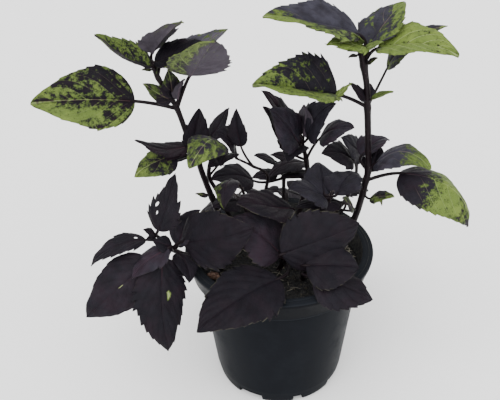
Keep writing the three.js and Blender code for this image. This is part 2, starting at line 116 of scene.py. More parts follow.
# The chip's layers: height and how much of the outline each fills.
CHIP_LAYERS = ((-1.0, 0.0), (-1.0, 0.6), (-0.92, 0.93), (-0.6, 0.99), (-0.1, 1.0), (0.4, 0.98),
               (0.75, 0.96), (0.93, 0.88), (1.0, 0.6), (1.0, 0.0))
CHIP_SIDES = 48
# White bits of perlite that lie on the soil: place and size.
PERLITE = ((-5.5, -34.0, 1.3), (4.5, -8.0, 0.9), (16.0, -13.0, 0.8), (38.0, 4.0, 1.0), (44.0, -3.0, 0.8))
# Tangles of pale fibres on the soil: middle, spread and how many.
FIBRE_TANGLES = ((43.0, 9.0, 5.0, 70), (2.0, -24.0, 8.0, 14))
# Material slots of the soil.
PEAT, DARK_CRUMB, BROWN_CRUMB, WHITE_BIT, FIBRE = range(5)

# The foliage.
SKYWARD = np.array([0.05, -0.15, 1.0])
CURL = 0.12
BLADE_THICKNESS = 0.42
# The sheet's formulas need a place just inside the base and the tip.
JUST_INSIDE = 1e-7
# Teeth: reach as a share of the half width, shape, lean, uneven sizes, spacing and number.
TOOTH_REACH = 0.1
TOOTH_PHASES = (0.0, 0.3, 0.58, 0.78, 0.88)
TOOTH_PEAK = 0.78
TOOTH_LEAN = 0.3
TOOTH_SIZES = (0.3, 1.5)
TOOTH_SPACING = 6.4
TOOTH_WIDENING = 16
FEWEST_TEETH, MOST_TEETH = 3, 11
# Where the teeth start and end along a blade, and how far inward they reach across it.
TOOTHED_FROM = 0.07
TOOTHED_TO = 0.985
TOOTHED_INWARD = 0.72
# The grid of a blade: columns from the midrib to the edge, rows before and after the teeth.
HALF_COLUMNS = (0.0, 0.02, 0.05, 0.1, 0.17, 0.25, 0.33, 0.41, 0.49, 0.57, 0.65, 0.73, 0.8, 0.86,
                0.91, 0.95, 0.98, 1.0)
HALF_COLUMNS_SMALL = (0.0, 0.04, 0.14, 0.3, 0.48, 0.66, 0.8, 0.9, 0.96, 1.0)
BASE_ROWS = (1e-5, 0.0012, 0.005, 0.012, 0.024, 0.042)
TIP_ROWS = (TOOTHED_TO, 0.992, 0.999)
LARGE_BLADE = 17.0
PINCH_FROM = 0.35
# Relief: veins, the groove over the midrib, swollen fields, ruffled edges, waves and a drooping tip.
VEIN_SPACING = 9.5
FEWEST_VEINS, MOST_VEINS = 3, 6
VEIN_HEIGHT = 0.16
VEIN_WIDTH = 0.5
MIDRIB_HEIGHT = 0.5
MIDRIB_WIDTH = 0.55
GROOVE_WIDTH = 0.7
SWELL = 0.023
RUFFLE = 0.018
RUFFLE_TURNS = (2.2, 3.6)
WAVE = 0.012
DROOP = 0.03
# What a pale spot adds to the paint: green, blotches, brightness and grey.
PALE_SPOT_PAINT = np.array([1.2, 0.0, 1.6, 0.0])
# Stems, stalks and hairs.
STEM_SIDES = 12
STEM_STEPS = 8
STEM_SQUARENESS = 0.07
# How much thicker a stem is where a stalk leaves it, and how far along it that reaches.
STALK_FOOT_SWELL = 0.16
STALK_FOOT_REACH = 2.2
STALK_SIDES = 8
STALK_STEPS = 9
THICKEST_STALK = 0.95
# Where a stalk runs on under the blade, and its thickness there, as shares.
STALK_RUN_ON = np.array([0.35, 0.7, 1.0])
STALK_END = np.array([0.75, 0.55, 0.33])
# Tubes start their rings away from this heading, which none of them follows.
TUBE_ASIDE = np.array([0.31, 1.0, 0.13])
HAIRS_PER_STEM = 120
HAIR_LENGTHS = (0.4, 0.9)
HAIR_THICKNESS = 0.05
HAIR_STEPS = 4
# Material slots of a shoot.
LEAF_UPPER, LEAF_UNDER, STEM, HAIR = range(4)

# Camera and light.
CAMERA_PLACE = (-17.5, -363.77, 355.76)
CAMERA_AIM = (-17.5, 0.0, 133.1)
CAMERA_ROLL = math.radians(-1.57)
CAMERA_LENS = 50.0
SENSOR_WIDTH = 36.0
NEAREST_SEEN = 10.0
FLOOR_REACH = 40000.0
WORLD_STRENGTH = 0.85
# Name, heading, height and spread in degrees, strength.
SUNS = (
    ("key light", -35.0, 50.0, 70.0, 3.5),
    ("fill light", 40.0, 32.0, 80.0, 2.3),
    ("back light", 170.0, 60.0, 80.0, 1.0),
)

# The route of each stem, as [x, y, z, radius] from its foot in the soil to its tip.
ROUTES = {
    "stem_left_tall": [[-22, 14, 82, 2.1], [-33, 15, 100, 2.0], [-41.5, 14, 127, 2.0],
        [-46.5, 12, 146, 1.9], [-49, 10, 159, 1.8], [-53, 9, 171, 1.7], [-58, 5, 193, 1.6],
        [-63, 4, 204, 1.6], [-67, 3, 213, 1.5], [-69, 3, 220, 1.2], [-69, 3, 223, 0.7]],
    "stem_left_inner": [[-17, 21, 82, 1.6], [-29, 20, 104, 1.5], [-38, 20, 127, 1.4], [-43, 19, 140, 1.3],
        [-41, 17, 154, 1.1], [-40, 15, 163, 0.8]],
    "stem_left_thin": [[-6, 22, 82, 1.2], [-8, 22, 119, 1.1], [-6, 18, 140, 1.0], [-15, 12, 150, 0.9],
        [-25, 8, 158, 0.7]],
    "stem_right_tall": [[33, 8, 82, 2.2], [45, 8, 102, 2.1], [50, 8, 116, 2.0], [53, 7, 132, 1.9],
        [54, 6, 141, 1.9], [55, 6, 149, 1.9], [53.5, 5, 169, 1.8], [51.5, 4, 191, 1.9], [50, 3, 205, 1.7],
        [47.5, 2, 217, 2.0], [45.5, 1, 226, 1.9], [45, 1, 230, 0.8]],
    "stem_right_inner": [[27, 32, 82, 1.3], [46, 32, 111, 1.2], [52, 33, 127, 1.1], [53, 34, 140, 0.8]],
    "stem_centre_tall": [[10, 24, 82, 1.8], [16, 26, 112, 1.7], [20, 27, 132, 1.6], [19, 26, 146, 1.5],
        [16, 24, 159, 1.2], [15, 23, 166, 0.7]],
    "stem_centre_left": [[-2, 36, 82, 1.4], [5, 42, 103, 1.3], [6, 46, 122, 1.2], [9, 46, 129, 1.0],
        [12, 46, 135, 0.6]],
    "stem_left_small": [[-13, 6, 82, 1.3], [-16, 5, 111, 1.2], [-20, 4, 131, 1.1], [-23, 4, 141, 0.7]],
    "stem_centre_right": [[16, -2, 82, 1.7], [21, -5, 109, 1.6], [28, -8, 132, 1.5], [31, -9, 140, 1.2],
        [32, -8, 143, 0.6]],
    "stem_front_left": [[-2, -8, 82, 1.7], [2, -14, 96, 1.6], [4, -15, 113, 1.4], [7, -14, 125, 1.0]],
    "stem_front_right": [[14, -18, 82, 1.7], [14, -24, 95, 1.6], [11, -28, 106, 1.4], [8, -30, 111, 1.0]],
    "stem_low_left": [[-34, -6, 82, 1.8], [-46, -12, 99, 1.8], [-56, -19, 106, 1.7], [-65, -24, 115, 1.5],
        [-69, -24, 120, 1.3], [-74, -23, 125, 0.9]],
    "stem_back_left": [[-16, 38, 82, 1.6], [-20, 43, 98, 1.5], [-25, 49, 104, 1.3], [-29, 57, 104, 1.0]],
    "stem_back_middle": [[6, 40, 82, 1.5], [7, 45, 98, 1.4], [8, 52, 104, 1.3], [8, 59, 104, 1.1]],
    "stem_back_right": [[22, 36, 82, 1.6], [27, 40, 98, 1.5], [33, 47, 106, 1.3], [38, 54, 108, 1.0]],
}

# The leaves of each shoot: [route point that the stalk grows from, blade's base, blade's tip, width,
# roll, fold, arch, sideways bend, look]. Roll and fold are in degrees.
LEAVES = {
    "stem_left_tall": [
        [6, [-81, 1, 200], [-137, -9, 205], 40, 40, 20, 1, 1, "side_mottled"],
        [6, [-49, 2, 214], [-33, -26, 244], 34, 20, 5, 0, 0, "half_green"],
        [6, [-60, 1, 200], [-74, -5, 213], 12, 40, 10, 0, -1, "small_mixed"],
        [6, [-60, 4, 200], [-61, 4, 217], 14, 10, 10, 1, 0, "small_mixed"],
        [6, [-57, 2, 200], [-52, 0, 213], 10, 35, 20, 1, 0, "small_dark"],
        [8, [-70, 1, 220], [-95, -10, 243], 25, 10, 35, -3, -1, "fine_mottled"],
        [8, [-69, 4, 227], [-50, -11, 249], 25, 15, 20, 1, 1, "grey_tipped_green"],
        [8, [-68, 3, 222], [-40, -1, 234], 22, -15, 20, 0, 1, "dark"],
        [8, [-59, 9, 225], [-28, 16, 236], 20, -5, 12, -3, 0, "pale_grey"],
        [9, [-70, 2, 218], [-75, 0, 219], 4, 0, 10, 0, 0, "small_mixed"],
        [9, [-68, 3, 215], [-66, 3, 222], 6, 0, 30, 0, 0, "small_mixed"],
        [4, [-51, 8, 163], [-46, 18, 187], 20, -45, 20, 1, -1, "dark"],
        [4, [-36, -1, 175], [-51, -27, 171], 25, 8, -10, 9, -1, "striped"],
        [4, [-52, 6, 169], [-82, -4, 179], 18, -5, 5, -5, 0, "dark_red"],
        [4, [-61, 4, 163], [-85, -9, 157], 21, 15, -10, 1, 2, "green_tipped"],
        [4, [-53, 8, 160], [-69, 4, 156], 9, -15, 10, 1, 0, "dark"],
        [4, [-53, 7, 167], [-69, 0, 161], 8, 20, 10, 1, 0, "dark_red"],
        [2, [-44, 15, 128], [-52, 15, 130], 5, 0, 0, 0, 0, "small_mixed"],
    ],
    "stem_left_inner": [
        [4, [-41, 19, 167], [-29, 20, 186], 14, -10, 5, 0, 1, "dark"],
        [3, [-35, 12, 156], [-42, 1, 156], 10, 15, 10, 1, 0, "dark"],
    ],
    "stem_left_thin": [
        [3, [-22, 8, 166], [-24, 9, 190], 12, 35, 20, 1, -1, "dark"],
        [4, [-26, 12, 165], [-36, 2, 179], 19, 40, 10, 2, 0, "dark"],
        [4, [-28, 7, 162], [-34, -8, 162], 15, -10, 10, 2, 0, "dark"],
    ],
    "stem_right_tall": [
        [9, [44, 4, 234], [-8, -10, 250.5], 35, 12, 20, 1, 2, "green_edged"],
        [9, [50, 4, 228], [72, 25, 246], 29, 15, 15, 2, 1, "streaked"],
        [10, [45, 0, 230], [39, -4, 238], 7, -25, 10, 0, 0, "small_green"],
        [9, [54, 1, 227], [93, -20, 230], 33, -10, 20, 4, -1, "bright_green"],
        [7, [64, 18, 209], [91, 2, 239], 14, -40, 10, 6, -1, "mottled"],
        [9, [47, -1, 229], [25, -12, 235], 18, 5, 5, 1, 0, "ragged_green"],
        [10, [46, -2, 228], [55, -8, 234], 10, -10, 5, 0, 0, "small_green"],
        [9, [49, 0, 219], [54, -2, 223], 6, -10, 10, 0, 0, "small_mixed"],
        [9, [43, 0, 224], [38, -3, 224], 4, 0, 10, 0, 0, "small_mixed"],
        [7, [33, 0, 201], [-14, -17, 216], 45, 18, 38, 1, -1, "mottled_green_edged"],
        [7, [50, 2, 196], [40, 0, 208], 9, 25, 15, 0, 0, "dark"],
        [7, [53, 6, 195], [53, 8, 204], 7, -15, 15, 0, 0, "small_dark"],
        [7, [53, 2, 197], [64, -2, 203], 8, 0, 20, 0, 0, "small_green"],
        [5, [58, 4, 153], [89, -11, 158], 28, 0, -5, 10, -1, "mauve_to_green"],
        [4, [74, 2, 148], [117, -12, 117], 39, -10, -30, 14, -2, "banded"],
        [5, [52, 16, 153], [72, 30, 157], 20, 10, 20, 4, 0, "plum"],
        [4, [57, 8, 146], [65, 21, 156], 17, 20, 10, 1, 0, "dark"],
        [3, [57, 3, 130], [70, -5, 136], 13, -5, 5, 1, 0, "spotted_green"],
    ],
    "stem_right_inner": [
        [3, [56, 34, 143], [41, 27, 161], 20, 30, 5, 1, 0, "dark_grey"],
        [2, [49, 28, 144], [28, 22, 153], 24, 12, 5, 3, 0, "dark"],
    ],
    "stem_centre_tall": [
        # The plum and dark_grey blades of this shoot lie in the shade of the leaves above them; their
        # lighter looks are partly painted light.
        [4, [10, 26, 171], [-8, 22, 196], 18, 15, 10, 0, 0, "dark_red"],
        [3, [9, 30, 151], [-7, 26, 184], 19, 20, 10, 1, 0, "dark_red"],
        [4, [14, 21, 160], [-4, 13, 188], 28, 40, 5, 2, 0, "plum"],
        [4, [19, 20, 165], [34, 12, 191], 25, -35, 10, 4, -1, "dark_grey"],
        [4, [17, 24, 164], [17, 20, 187], 22, 0, 10, 1, 0, "plum"],
        [3, [15, 26, 157], [6, 8, 155], 16, -10, 5, 2, 0, "dark"],
        [3, [26, 16, 166], [45, 6, 178], 21, -15, 0, 3, 0, "plum"],
    ],
    "stem_centre_left": [
        [2, [0, 44, 136], [-14, 40, 143], 12, 0, 0, 1, 0, "dark"],
        [3, [11, 46, 135], [-3, 42, 142], 11, 10, 5, 1, 0, "dark"],
        [3, [19, 40, 137], [-6, 28, 132], 22, -15, 0, 4, 0, "dark"],
        [2, [25, 38, 129], [2, 32, 130], 13, -10, -5, 3, 0, "dark"],
        [2, [-15, 38, 125], [-43, 30, 132], 25, 8, 5, 4, 0, "dark"],
        [2, [1, 40, 129], [-16, 35, 129], 14, 0, 0, 1, 0, "dark"],
    ],
    "stem_left_small": [
        [3, [-29, 3, 146], [-33, -22, 141], 15, -15, 0, 4, 0, "one_side_green"],
        [2, [-25, -4, 136], [-39, -19, 141], 17, 5, -5, 0, 0, "dark"],
    ],
    "stem_centre_right": [
        # The dark_grey blades of this shoot lie in shade; their lighter look is partly painted light.
        [3, [27, -8, 141], [27, 21, 147], 25, -15, 5, 1, 0, "dark_grey"],
        [3, [34, -10, 141], [50, 15, 142], 24, 5, 10, 3, -1, "dark_grey"],
        [3, [28, -10, 139], [5, -21, 154], 24, 5, 0, 2, 0, "dark_grey"],
        [1, [38, -5, 133], [9, -14, 136], 19, -10, -5, 2, 0, "rimmed"],
        [2, [44, -14, 134], [37, -16, 143], 13, 5, 5, 0, 0, "olive"],
    ],
    "stem_front_left": [
        [3, [8, -8, 131], [-25, -25, 147], 34, 0, 8, 0, 0, "pale_rimmed"],
        [1, [0, -27, 111], [-29, -25, 137], 33, 30, 10, 3, 1, "red_rimmed"],
        [1, [-2, -44, 106], [-49, -77, 97], 39, 8, 5, 4, 1, "rimmed"],
    ],
    "stem_front_right": [
        [3, [0, -38, 119], [46, -29, 133], 38, -65, -5, 2, 0, "rimmed"],
        [2, [14, -40, 112], [45, -42, 111], 31, -25, 5, 3, 0, "rimmed"],
        [1, [18, -45, 107], [53, -50, 94], 33, -10, -5, 2, 0, "dark"],
    ],
    "stem_low_left": [
        [3, [-58, -24, 120], [-16, -42, 140], 35, -60, 0, 2, 2, "rimmed"],
        [3, [-62, -20, 114], [-48, -10, 134], 22, 10, 20, 2, 0, "plum"],
        [3, [-61, -26, 113], [-54, -43, 104], 17, 25, 10, 2, -1, "dark"],
        [5, [-72, -25, 129], [-61, -12, 159], 25, 15, 5, 0, 1, "jagged"],
        [4, [-80, -24, 122], [-113, -34, 112], 18, -5, 10, 5, 0, "sharp_toothed"],
        [5, [-74, -24, 125], [-80, -26, 131], 8, 5, 10, 0, 0, "dark"],
        [5, [-74, -24, 124], [-79, -28, 125], 5, 0, 10, 0, 0, "dark"],
        [3, [-77, -34, 114], [-118, -45, 81], 32, 46, -5, 3, 0, "smooth_edged"],
        [3, [-69, -38, 118], [-68, -58, 64], 32, 20, -5, 2, 3, "coarse_toothed"],
        [3, [-66, -33, 122], [-87, -46, 111], 20, -10, 0, 2, 0, "plum"],
        [3, [-64, -30, 120], [-74, -33, 127], 14, 15, 0, 1, 0, "dark"],
    ],
    "stem_back_left": [
        [3, [-32, 63, 97], [-48, 87, 67], 28, 5, -5, 4, 0, "dark"],
        [3, [-30, 68, 97], [-34, 90, 67], 31, 0, -5, 4, 0, "dark_grey"],
        [2, [-22, 66, 101], [-10, 88, 84], 22, -5, -5, 3, 0, "dark"],
        [2, [-36, 54, 100], [-55, 60, 84], 18, 0, 0, 2, 0, "dark"],
    ],
    "stem_back_middle": [
        [3, [9, 68, 99], [16, 94, 71], 33, 0, -5, 4, 0, "dark"],
        [2, [11, 63, 103], [21, 75, 99], 13, 0, 10, 2, 0, "dark"],
        [2, [2, 60, 103], [-8, 68, 99], 12, 0, 10, 1, 0, "dark"],
    ],
    "stem_back_right": [
        [3, [44, 61, 107], [68, 80, 92], 32, 5, -5, 5, 0, "dark"],
        [3, [40, 63, 106], [40, 92, 80], 31, 0, -5, 5, 0, "dark_grey"],
        [2, [44, 50, 108], [64, 58, 104], 20, 0, 5, 3, 0, "dark"],
        [2, [30, 56, 108], [18, 66, 112], 14, 0, 10, 2, 0, "dark"],
    ],
}

# Small lobes and bits with no stalk of their own, as leaves are given.
LOBES = {
    "stem_right_tall": [
        [7, [31, -9, 203], [39, -7, 210], 9, 20, 10, 0, 0, "ragged_green"],
        [3, [62, -2, 134.5], [63, -5, 129.5], 2.4, 0, 10, 0, 0, "small_mixed"],
    ],
}

# How a blade is coloured: the share of green at its base, middle and tip, what its left and right
# halves add to that, and then how strong each trait is, from 0 to 1 or a little more.
LOOK_FIELDS = ("base", "middle", "tip", "left", "right", "blotch", "bright", "specks", "grey", "red", "rim",
               "teeth", "acute", "fine")
LOOKS = {
    "rimmed": (0, 0, 0, 0, 0, 0, 0.3, 0.1, 0.12, 0.15, 1, 1, -0.02, 0),
    "small_dark": (0.05, 0.05, 0.15, 0, 0, 0.3, 0.2, 0.3, 0.3, 0.3, 0.2, 0.8, 0.1, 0),
    "small_mixed": (0.2, 0.3, 0.45, 0, 0, 0.5, 0.1, 0.4, 0.2, 0.3, 0.5, 0.8, 0.1, 0),
    "small_green": (0.8, 0.8, 0.9, 0, 0, 0.3, 0.5, 0.4, 0, 0.1, 0.4, 1, 0.1, 0),
    "side_mottled": (0.16, 0.4, 0.72, 0.42, 0, 1, 0.5, 0.9, 0.1, 0.3, 0.3, 0.4, 0.06, 0.25),
    "half_green": (-0.1, 0, 0.15, -0.1, 0.72, 0.9, 0.85, 0.6, 0.7, 0.3, 0.8, 1, 0, 0.7),
    "fine_mottled": (0.4, 0.45, 0.9, -0.7, 0.25, 0.9, 0.4, 1, 0.3, 0.2, 0.5, 1, 0.15, 1),
    "grey_tipped_green": (0, 0.1, 0.5, 0.2, 0, 0.5, 0.4, 0.3, 0.8, 0.2, 0.7, 1.4, 0.05, 0.2),
    "pale_grey": (0, 0.1, 0.5, 0.15, 0.05, 0.5, 0.4, 0.3, 1.5, 0.2, 0.7, 1.2, 0.05, 0.2),
    "striped": (0.35, 0.25, 0.55, 0.2, 0.15, 0.9, 0.3, 0.6, 0.4, 0.4, 0.6, 0.4, 0.05, 0.3),
    "green_tipped": (-0.1, 0.45, 0.75, 0.1, 0, 0.8, 0.45, 0.8, 0.2, 0.2, 0.5, 0.5, 0.05, 0),
    "green_edged": (-0.45, -0.05, 1.15, 0.75, -0.25, 0.7, 0.65, 0.9, 1, 0.1, 0.8, 1.2, 0.22, 0.3),
    "streaked": (-0.1, 0.42, 0.95, -0.2, 0.25, 1, 0.64, 0.6, 0.9, 0.1, 0.7, 1, 0.12, 0.4),
    "bright_green": (1, 0.95, 0.9, 0.05, 0.05, 0.3, 0.72, 1, 0, 0.1, 0.3, 0.6, 0.1, 0.1),
    "mottled": (0.35, 0.4, 0.55, 0, 0, 0.9, 0.5, 0.6, 0.6, 0.2, 0.5, 1, 0.05, 0),
    "ragged_green": (0.8, 0.9, 0.9, 0, 0, 0.4, 0.8, 0.6, 0, 0.1, 0.5, 1.6, 0.05, 0),
    "mottled_green_edged": (0.1, 0.42, 0.64, 0.5, 0.02, 1, 0.6, 0.9, 0.3, 0.1, 0.4, 1, 0.05, 0.35),
    "mauve_to_green": (-0.5, 0.35, 1.2, 0, 0, 0.35, 0.5, 0.7, 0.9, 1, 0.6, 0.5, 0, 0.2),
    "banded": (-0.5, 1.2, 0.35, 0.15, -0.05, 0.8, 0.64, 0.8, 0.3, 0.4, 0.6, 0.4, 0, 0.3),
    "spotted_green": (0.6, 0.5, 0.8, 0, 0, 0.7, 0.6, 0.6, 0.2, 0.2, 0.5, 0.5, 0.1, 0),
    "one_side_green": (0, 0, 0, 0, 0.4, 0.4, 0.5, 0.3, 0.3, 0.3, 0.9, 0.8, 0.05, 0),
    "pale_rimmed": (0, 0, 0, 0, 0, 0.2, 0.2, 0.1, 0.12, 0.35, 1, 0.5, 0, 0),
    "olive": (0.5, 0.4, 0.3, 0, 0, 0.3, 0, 0.4, 0.2, 0.5, 0.3, 0.8, 0.1, 0),
}
# plum and dark_grey are lighter than dark, with more grey and red; given to leaves in the shade of others
# they are partly painted light, and dark_grey's grey is partly painted sheen.
# Looks without green: grey, red, rim, teeth, acute.
DARK_LOOKS = {
    "dark": (0.15, 0.2, 0.2, 1, 0.08),
    "dark_red": (0.1, 0.7, 0.1, 1, 0.08),
    "dark_grey": (0.4, 0.1, 0.2, 1, 0.08),
    "plum": (0.5, 0.9, 0.3, 0.8, 0.05),
    "jagged": (0.12, 0.15, 0.2, 1.9, 0.25),
    "sharp_toothed": (0.2, 0.2, 0.2, 1.5, 0.08),
    "smooth_edged": (0.25, 0.4, 0.2, 0.3, 0),
    "coarse_toothed": (0.15, 0.3, 0.2, 1.3, 0.04),
    "red_rimmed": (0.3, 0.8, 0.8, 0.9, 0.05),
}
LOOKS.update({name: (0, 0, 0, 0, 0, 0, 0.2, 0.1, *traits, 0) for name, traits in DARK_LOOKS.items()})

# Holes eaten into a blade of a look: place along it, place across it, reach along and across in
# millimetres.
HOLES = {
    "jagged": ((0.42, -0.66, 1.7, 1.3), (0.29, -0.4, 1.3, 0.8)),
    "sharp_toothed": ((0.135, 0.35, 1.0, 0.9),),
    "smooth_edged": ((0.3, -0.45, 1.0, 0.5),),
}
# Pale spots on a blade, given as the holes are.
PALE_SPOTS = {
    "coarse_toothed": ((0.38, -0.27, 3.6, 1.3),),
    "smooth_edged": ((0.42, 0.0, 1.5, 0.16),),
}


# Numbers for shapes

def smooth(low, high, value):
    t = np.clip((value - low) / (high - low), 0, 1)
    return t * t * (3 - 2 * t)


def hump(distance, reach):
    return np.exp(-(distance / reach) ** 2)


def unit(vectors):
    return vectors / np.maximum(np.linalg.norm(vectors, axis=-1, keepdims=True), 1e-12)


def stacked(*values):
    """The values side by side for each point; a plain number counts for every point."""
    return np.stack(np.broadcast_arrays(*values), -1)


def catmull_rom(points, steps):
    """A smooth curve through the points, with so many steps on each stretch."""
    ends = np.vstack([2 * points[0] - points[1], points, 2 * points[-1] - points[-2]])
    t = (np.arange(steps) / steps)[:, None]
    stretches = []
    for a, b, c, d in zip(ends, ends[1:], ends[2:], ends[3:]):
        stretches.append(0.5 * (2 * b + (c - a) * t + (2 * a - 5 * b + 4 * c - d) * t ** 2
                                + (3 * b - a - 3 * c + d) * t ** 3))
    return np.vstack(stretches + [points[-1:]])


def angles(sides):
    return FULL_TURN * np.arange(sides) / sides


def level_ring(radius, height, sides):
    return stacked(radius * np.cos(angles(sides)), radius * np.sin(angles(sides)), height)


def grid_faces(rows, columns, around=False):
    """The faces of a grid of points; around joins its last column to its first."""
    i, j = np.indices((rows - 1, columns if around else columns - 1)).reshape(2, -1)
    after = (j + 1) % columns
    return np.stack([i * columns + j, i * columns + after, (i + 1) * columns + after,
                     (i + 1) * columns + j], 1)


def closed_faces(rows, sides):
    """Faces between rings of points, and the triangles to the two end points that follow them."""
    k = np.arange(sides)
    after = (k + 1) % sides
    top = (rows - 1) * sides
    first_cap = stacked(after, k, rows * sides)
    last_cap = stacked(top + k, top + after, rows * sides + 1)
    return grid_faces(rows, sides, around=True), np.concatenate([first_cap, last_cap])


def border(faces):
    """The edges that only one face has, as two rows of points in that face's own order."""
    starts, ends = faces.ravel(), np.roll(faces, -1, axis=1).ravel()
    many = faces.max() + 1
    alone = ~np.isin(starts * many + ends, ends * many + starts)
    return starts[alone], ends[alone]


def link_object(name, data):
    made = bpy.data.objects.new(name, data)
    bpy.context.scene.collection.objects.link(made)
    return made


class Form:
    """Collects the points and faces of one piece, with the leaf coordinates of each point."""

    LAYERS = {"blade": 3, "place": 3, "paint": 4, "traits": 4}

    def __init__(self):
        self.points = []
        self.faces = []
        self.slots = []
        self.layers = {name: [] for name in self.LAYERS}
        self.count = 0

    def add(self, points, skins, **layers):
        """Adds points and skins; each skin is some faces, as rows of point numbers, and their slot."""
        points = np.asarray(points, float).reshape(-1, 3)
        self.points.append(points)
        for faces, slot in skins:
            self.faces += (np.asarray(faces) + self.count).tolist()
            self.slots += [slot] * len(faces)
        for name, width in self.LAYERS.items():
            values = layers.get(name, np.zeros((len(points), width)))
            self.layers[name].append(values.reshape(-1, width))
        self.count += len(points)

    def make(self, name, node, materials, layered=False):
        """Makes the piece's object, which stands for a node of the frame."""
        mesh = bpy.data.meshes.new(name)
        mesh.from_pydata((np.vstack(self.points) * MM).tolist(), [], self.faces)
        for material in materials:
            mesh.materials.append(material)
        mesh.polygons.foreach_set("material_index", np.array(self.slots))
        mesh.polygons.foreach_set("use_smooth", np.ones(len(self.faces), bool))
        if layered:
            for layer, width in self.LAYERS.items():
                kind, field = ("FLOAT_VECTOR", "vector") if width == 3 else ("FLOAT_COLOR", "color")
                values = np.vstack(self.layers[layer]).astype(np.float32)
                mesh.attributes.new(layer, kind, "POINT").data.foreach_set(field, values.ravel())
        mesh.update()
        piece = link_object(name, mesh)
        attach(piece, "root")
        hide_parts(node)


# Foliage shapes

def outline(u):
    """The half width of a blade along it, as a share of its full half width."""
    u = np.clip(u, JUST_INSIDE, 1 - JUST_INSIDE)
    return np.sin(math.pi * u ** 0.7) ** 0.7 * (1 - 0.25 * u ** 3)


def blade_sheet(leaf):
    """The blade's middle sheet: u from base to tip, v across from -1 to 1."""
    _, base, tip, width, roll, fold, arch, bend, _ = leaf
    roll, fold = math.radians(roll), math.radians(fold)
    base = np.asarray(base, float)
    along = np.asarray(tip, float) - base
    length = np.linalg.norm(along)
    along = along / length
    flat_up = unit(SKYWARD - along * (SKYWARD @ along))
    flat_side = np.cross(along, flat_up)
    side = flat_side * math.cos(roll) + flat_up * math.sin(roll)
    up = flat_up * math.cos(roll) - flat_side * math.sin(roll)

    def sheet(u, v):
        inside = np.clip(u, JUST_INSIDE, 1 - JUST_INSIDE)
        half = width / 2 * outline(u)
        bow = 4 * inside * (1 - inside)
        rise = arch * bow + half * (np.abs(v) * math.sin(fold) - CURL * v * v)
        shift = bend * bow + half * v * math.cos(fold)
        return base + along * (length * u)[..., None] + up * rise[..., None] + side * shift[..., None]

    return sheet, length


def sheet_normal(sheet, u, v):
    safe, step = np.clip(u, 0.04, 0.96), 0.02
    along = sheet(safe + step, v) - sheet(safe - step, v)
    across = sheet(safe, v + step) - sheet(safe, v - step)
    return unit(np.cross(across, along))


def blade_rows(teeth):
    """Places along the blade, how far a tooth stands out at each, and which tooth it is."""
    phase = np.tile(TOOTH_PHASES, teeth)
    number = np.repeat(np.arange(teeth), len(TOOTH_PHASES))
    places = TOOTHED_FROM + (TOOTHED_TO - TOOTHED_FROM) * ((number + phase) / teeth) ** 1.08
    reach = np.minimum((phase / TOOTH_PEAK) ** 1.2, (1 - phase) / (1 - TOOTH_PEAK))
    plain = len(BASE_ROWS), len(TIP_ROWS)
    return (np.concatenate([BASE_ROWS, places, TIP_ROWS]), np.pad(reach, plain),
            np.pad(number, plain, mode="edge"))


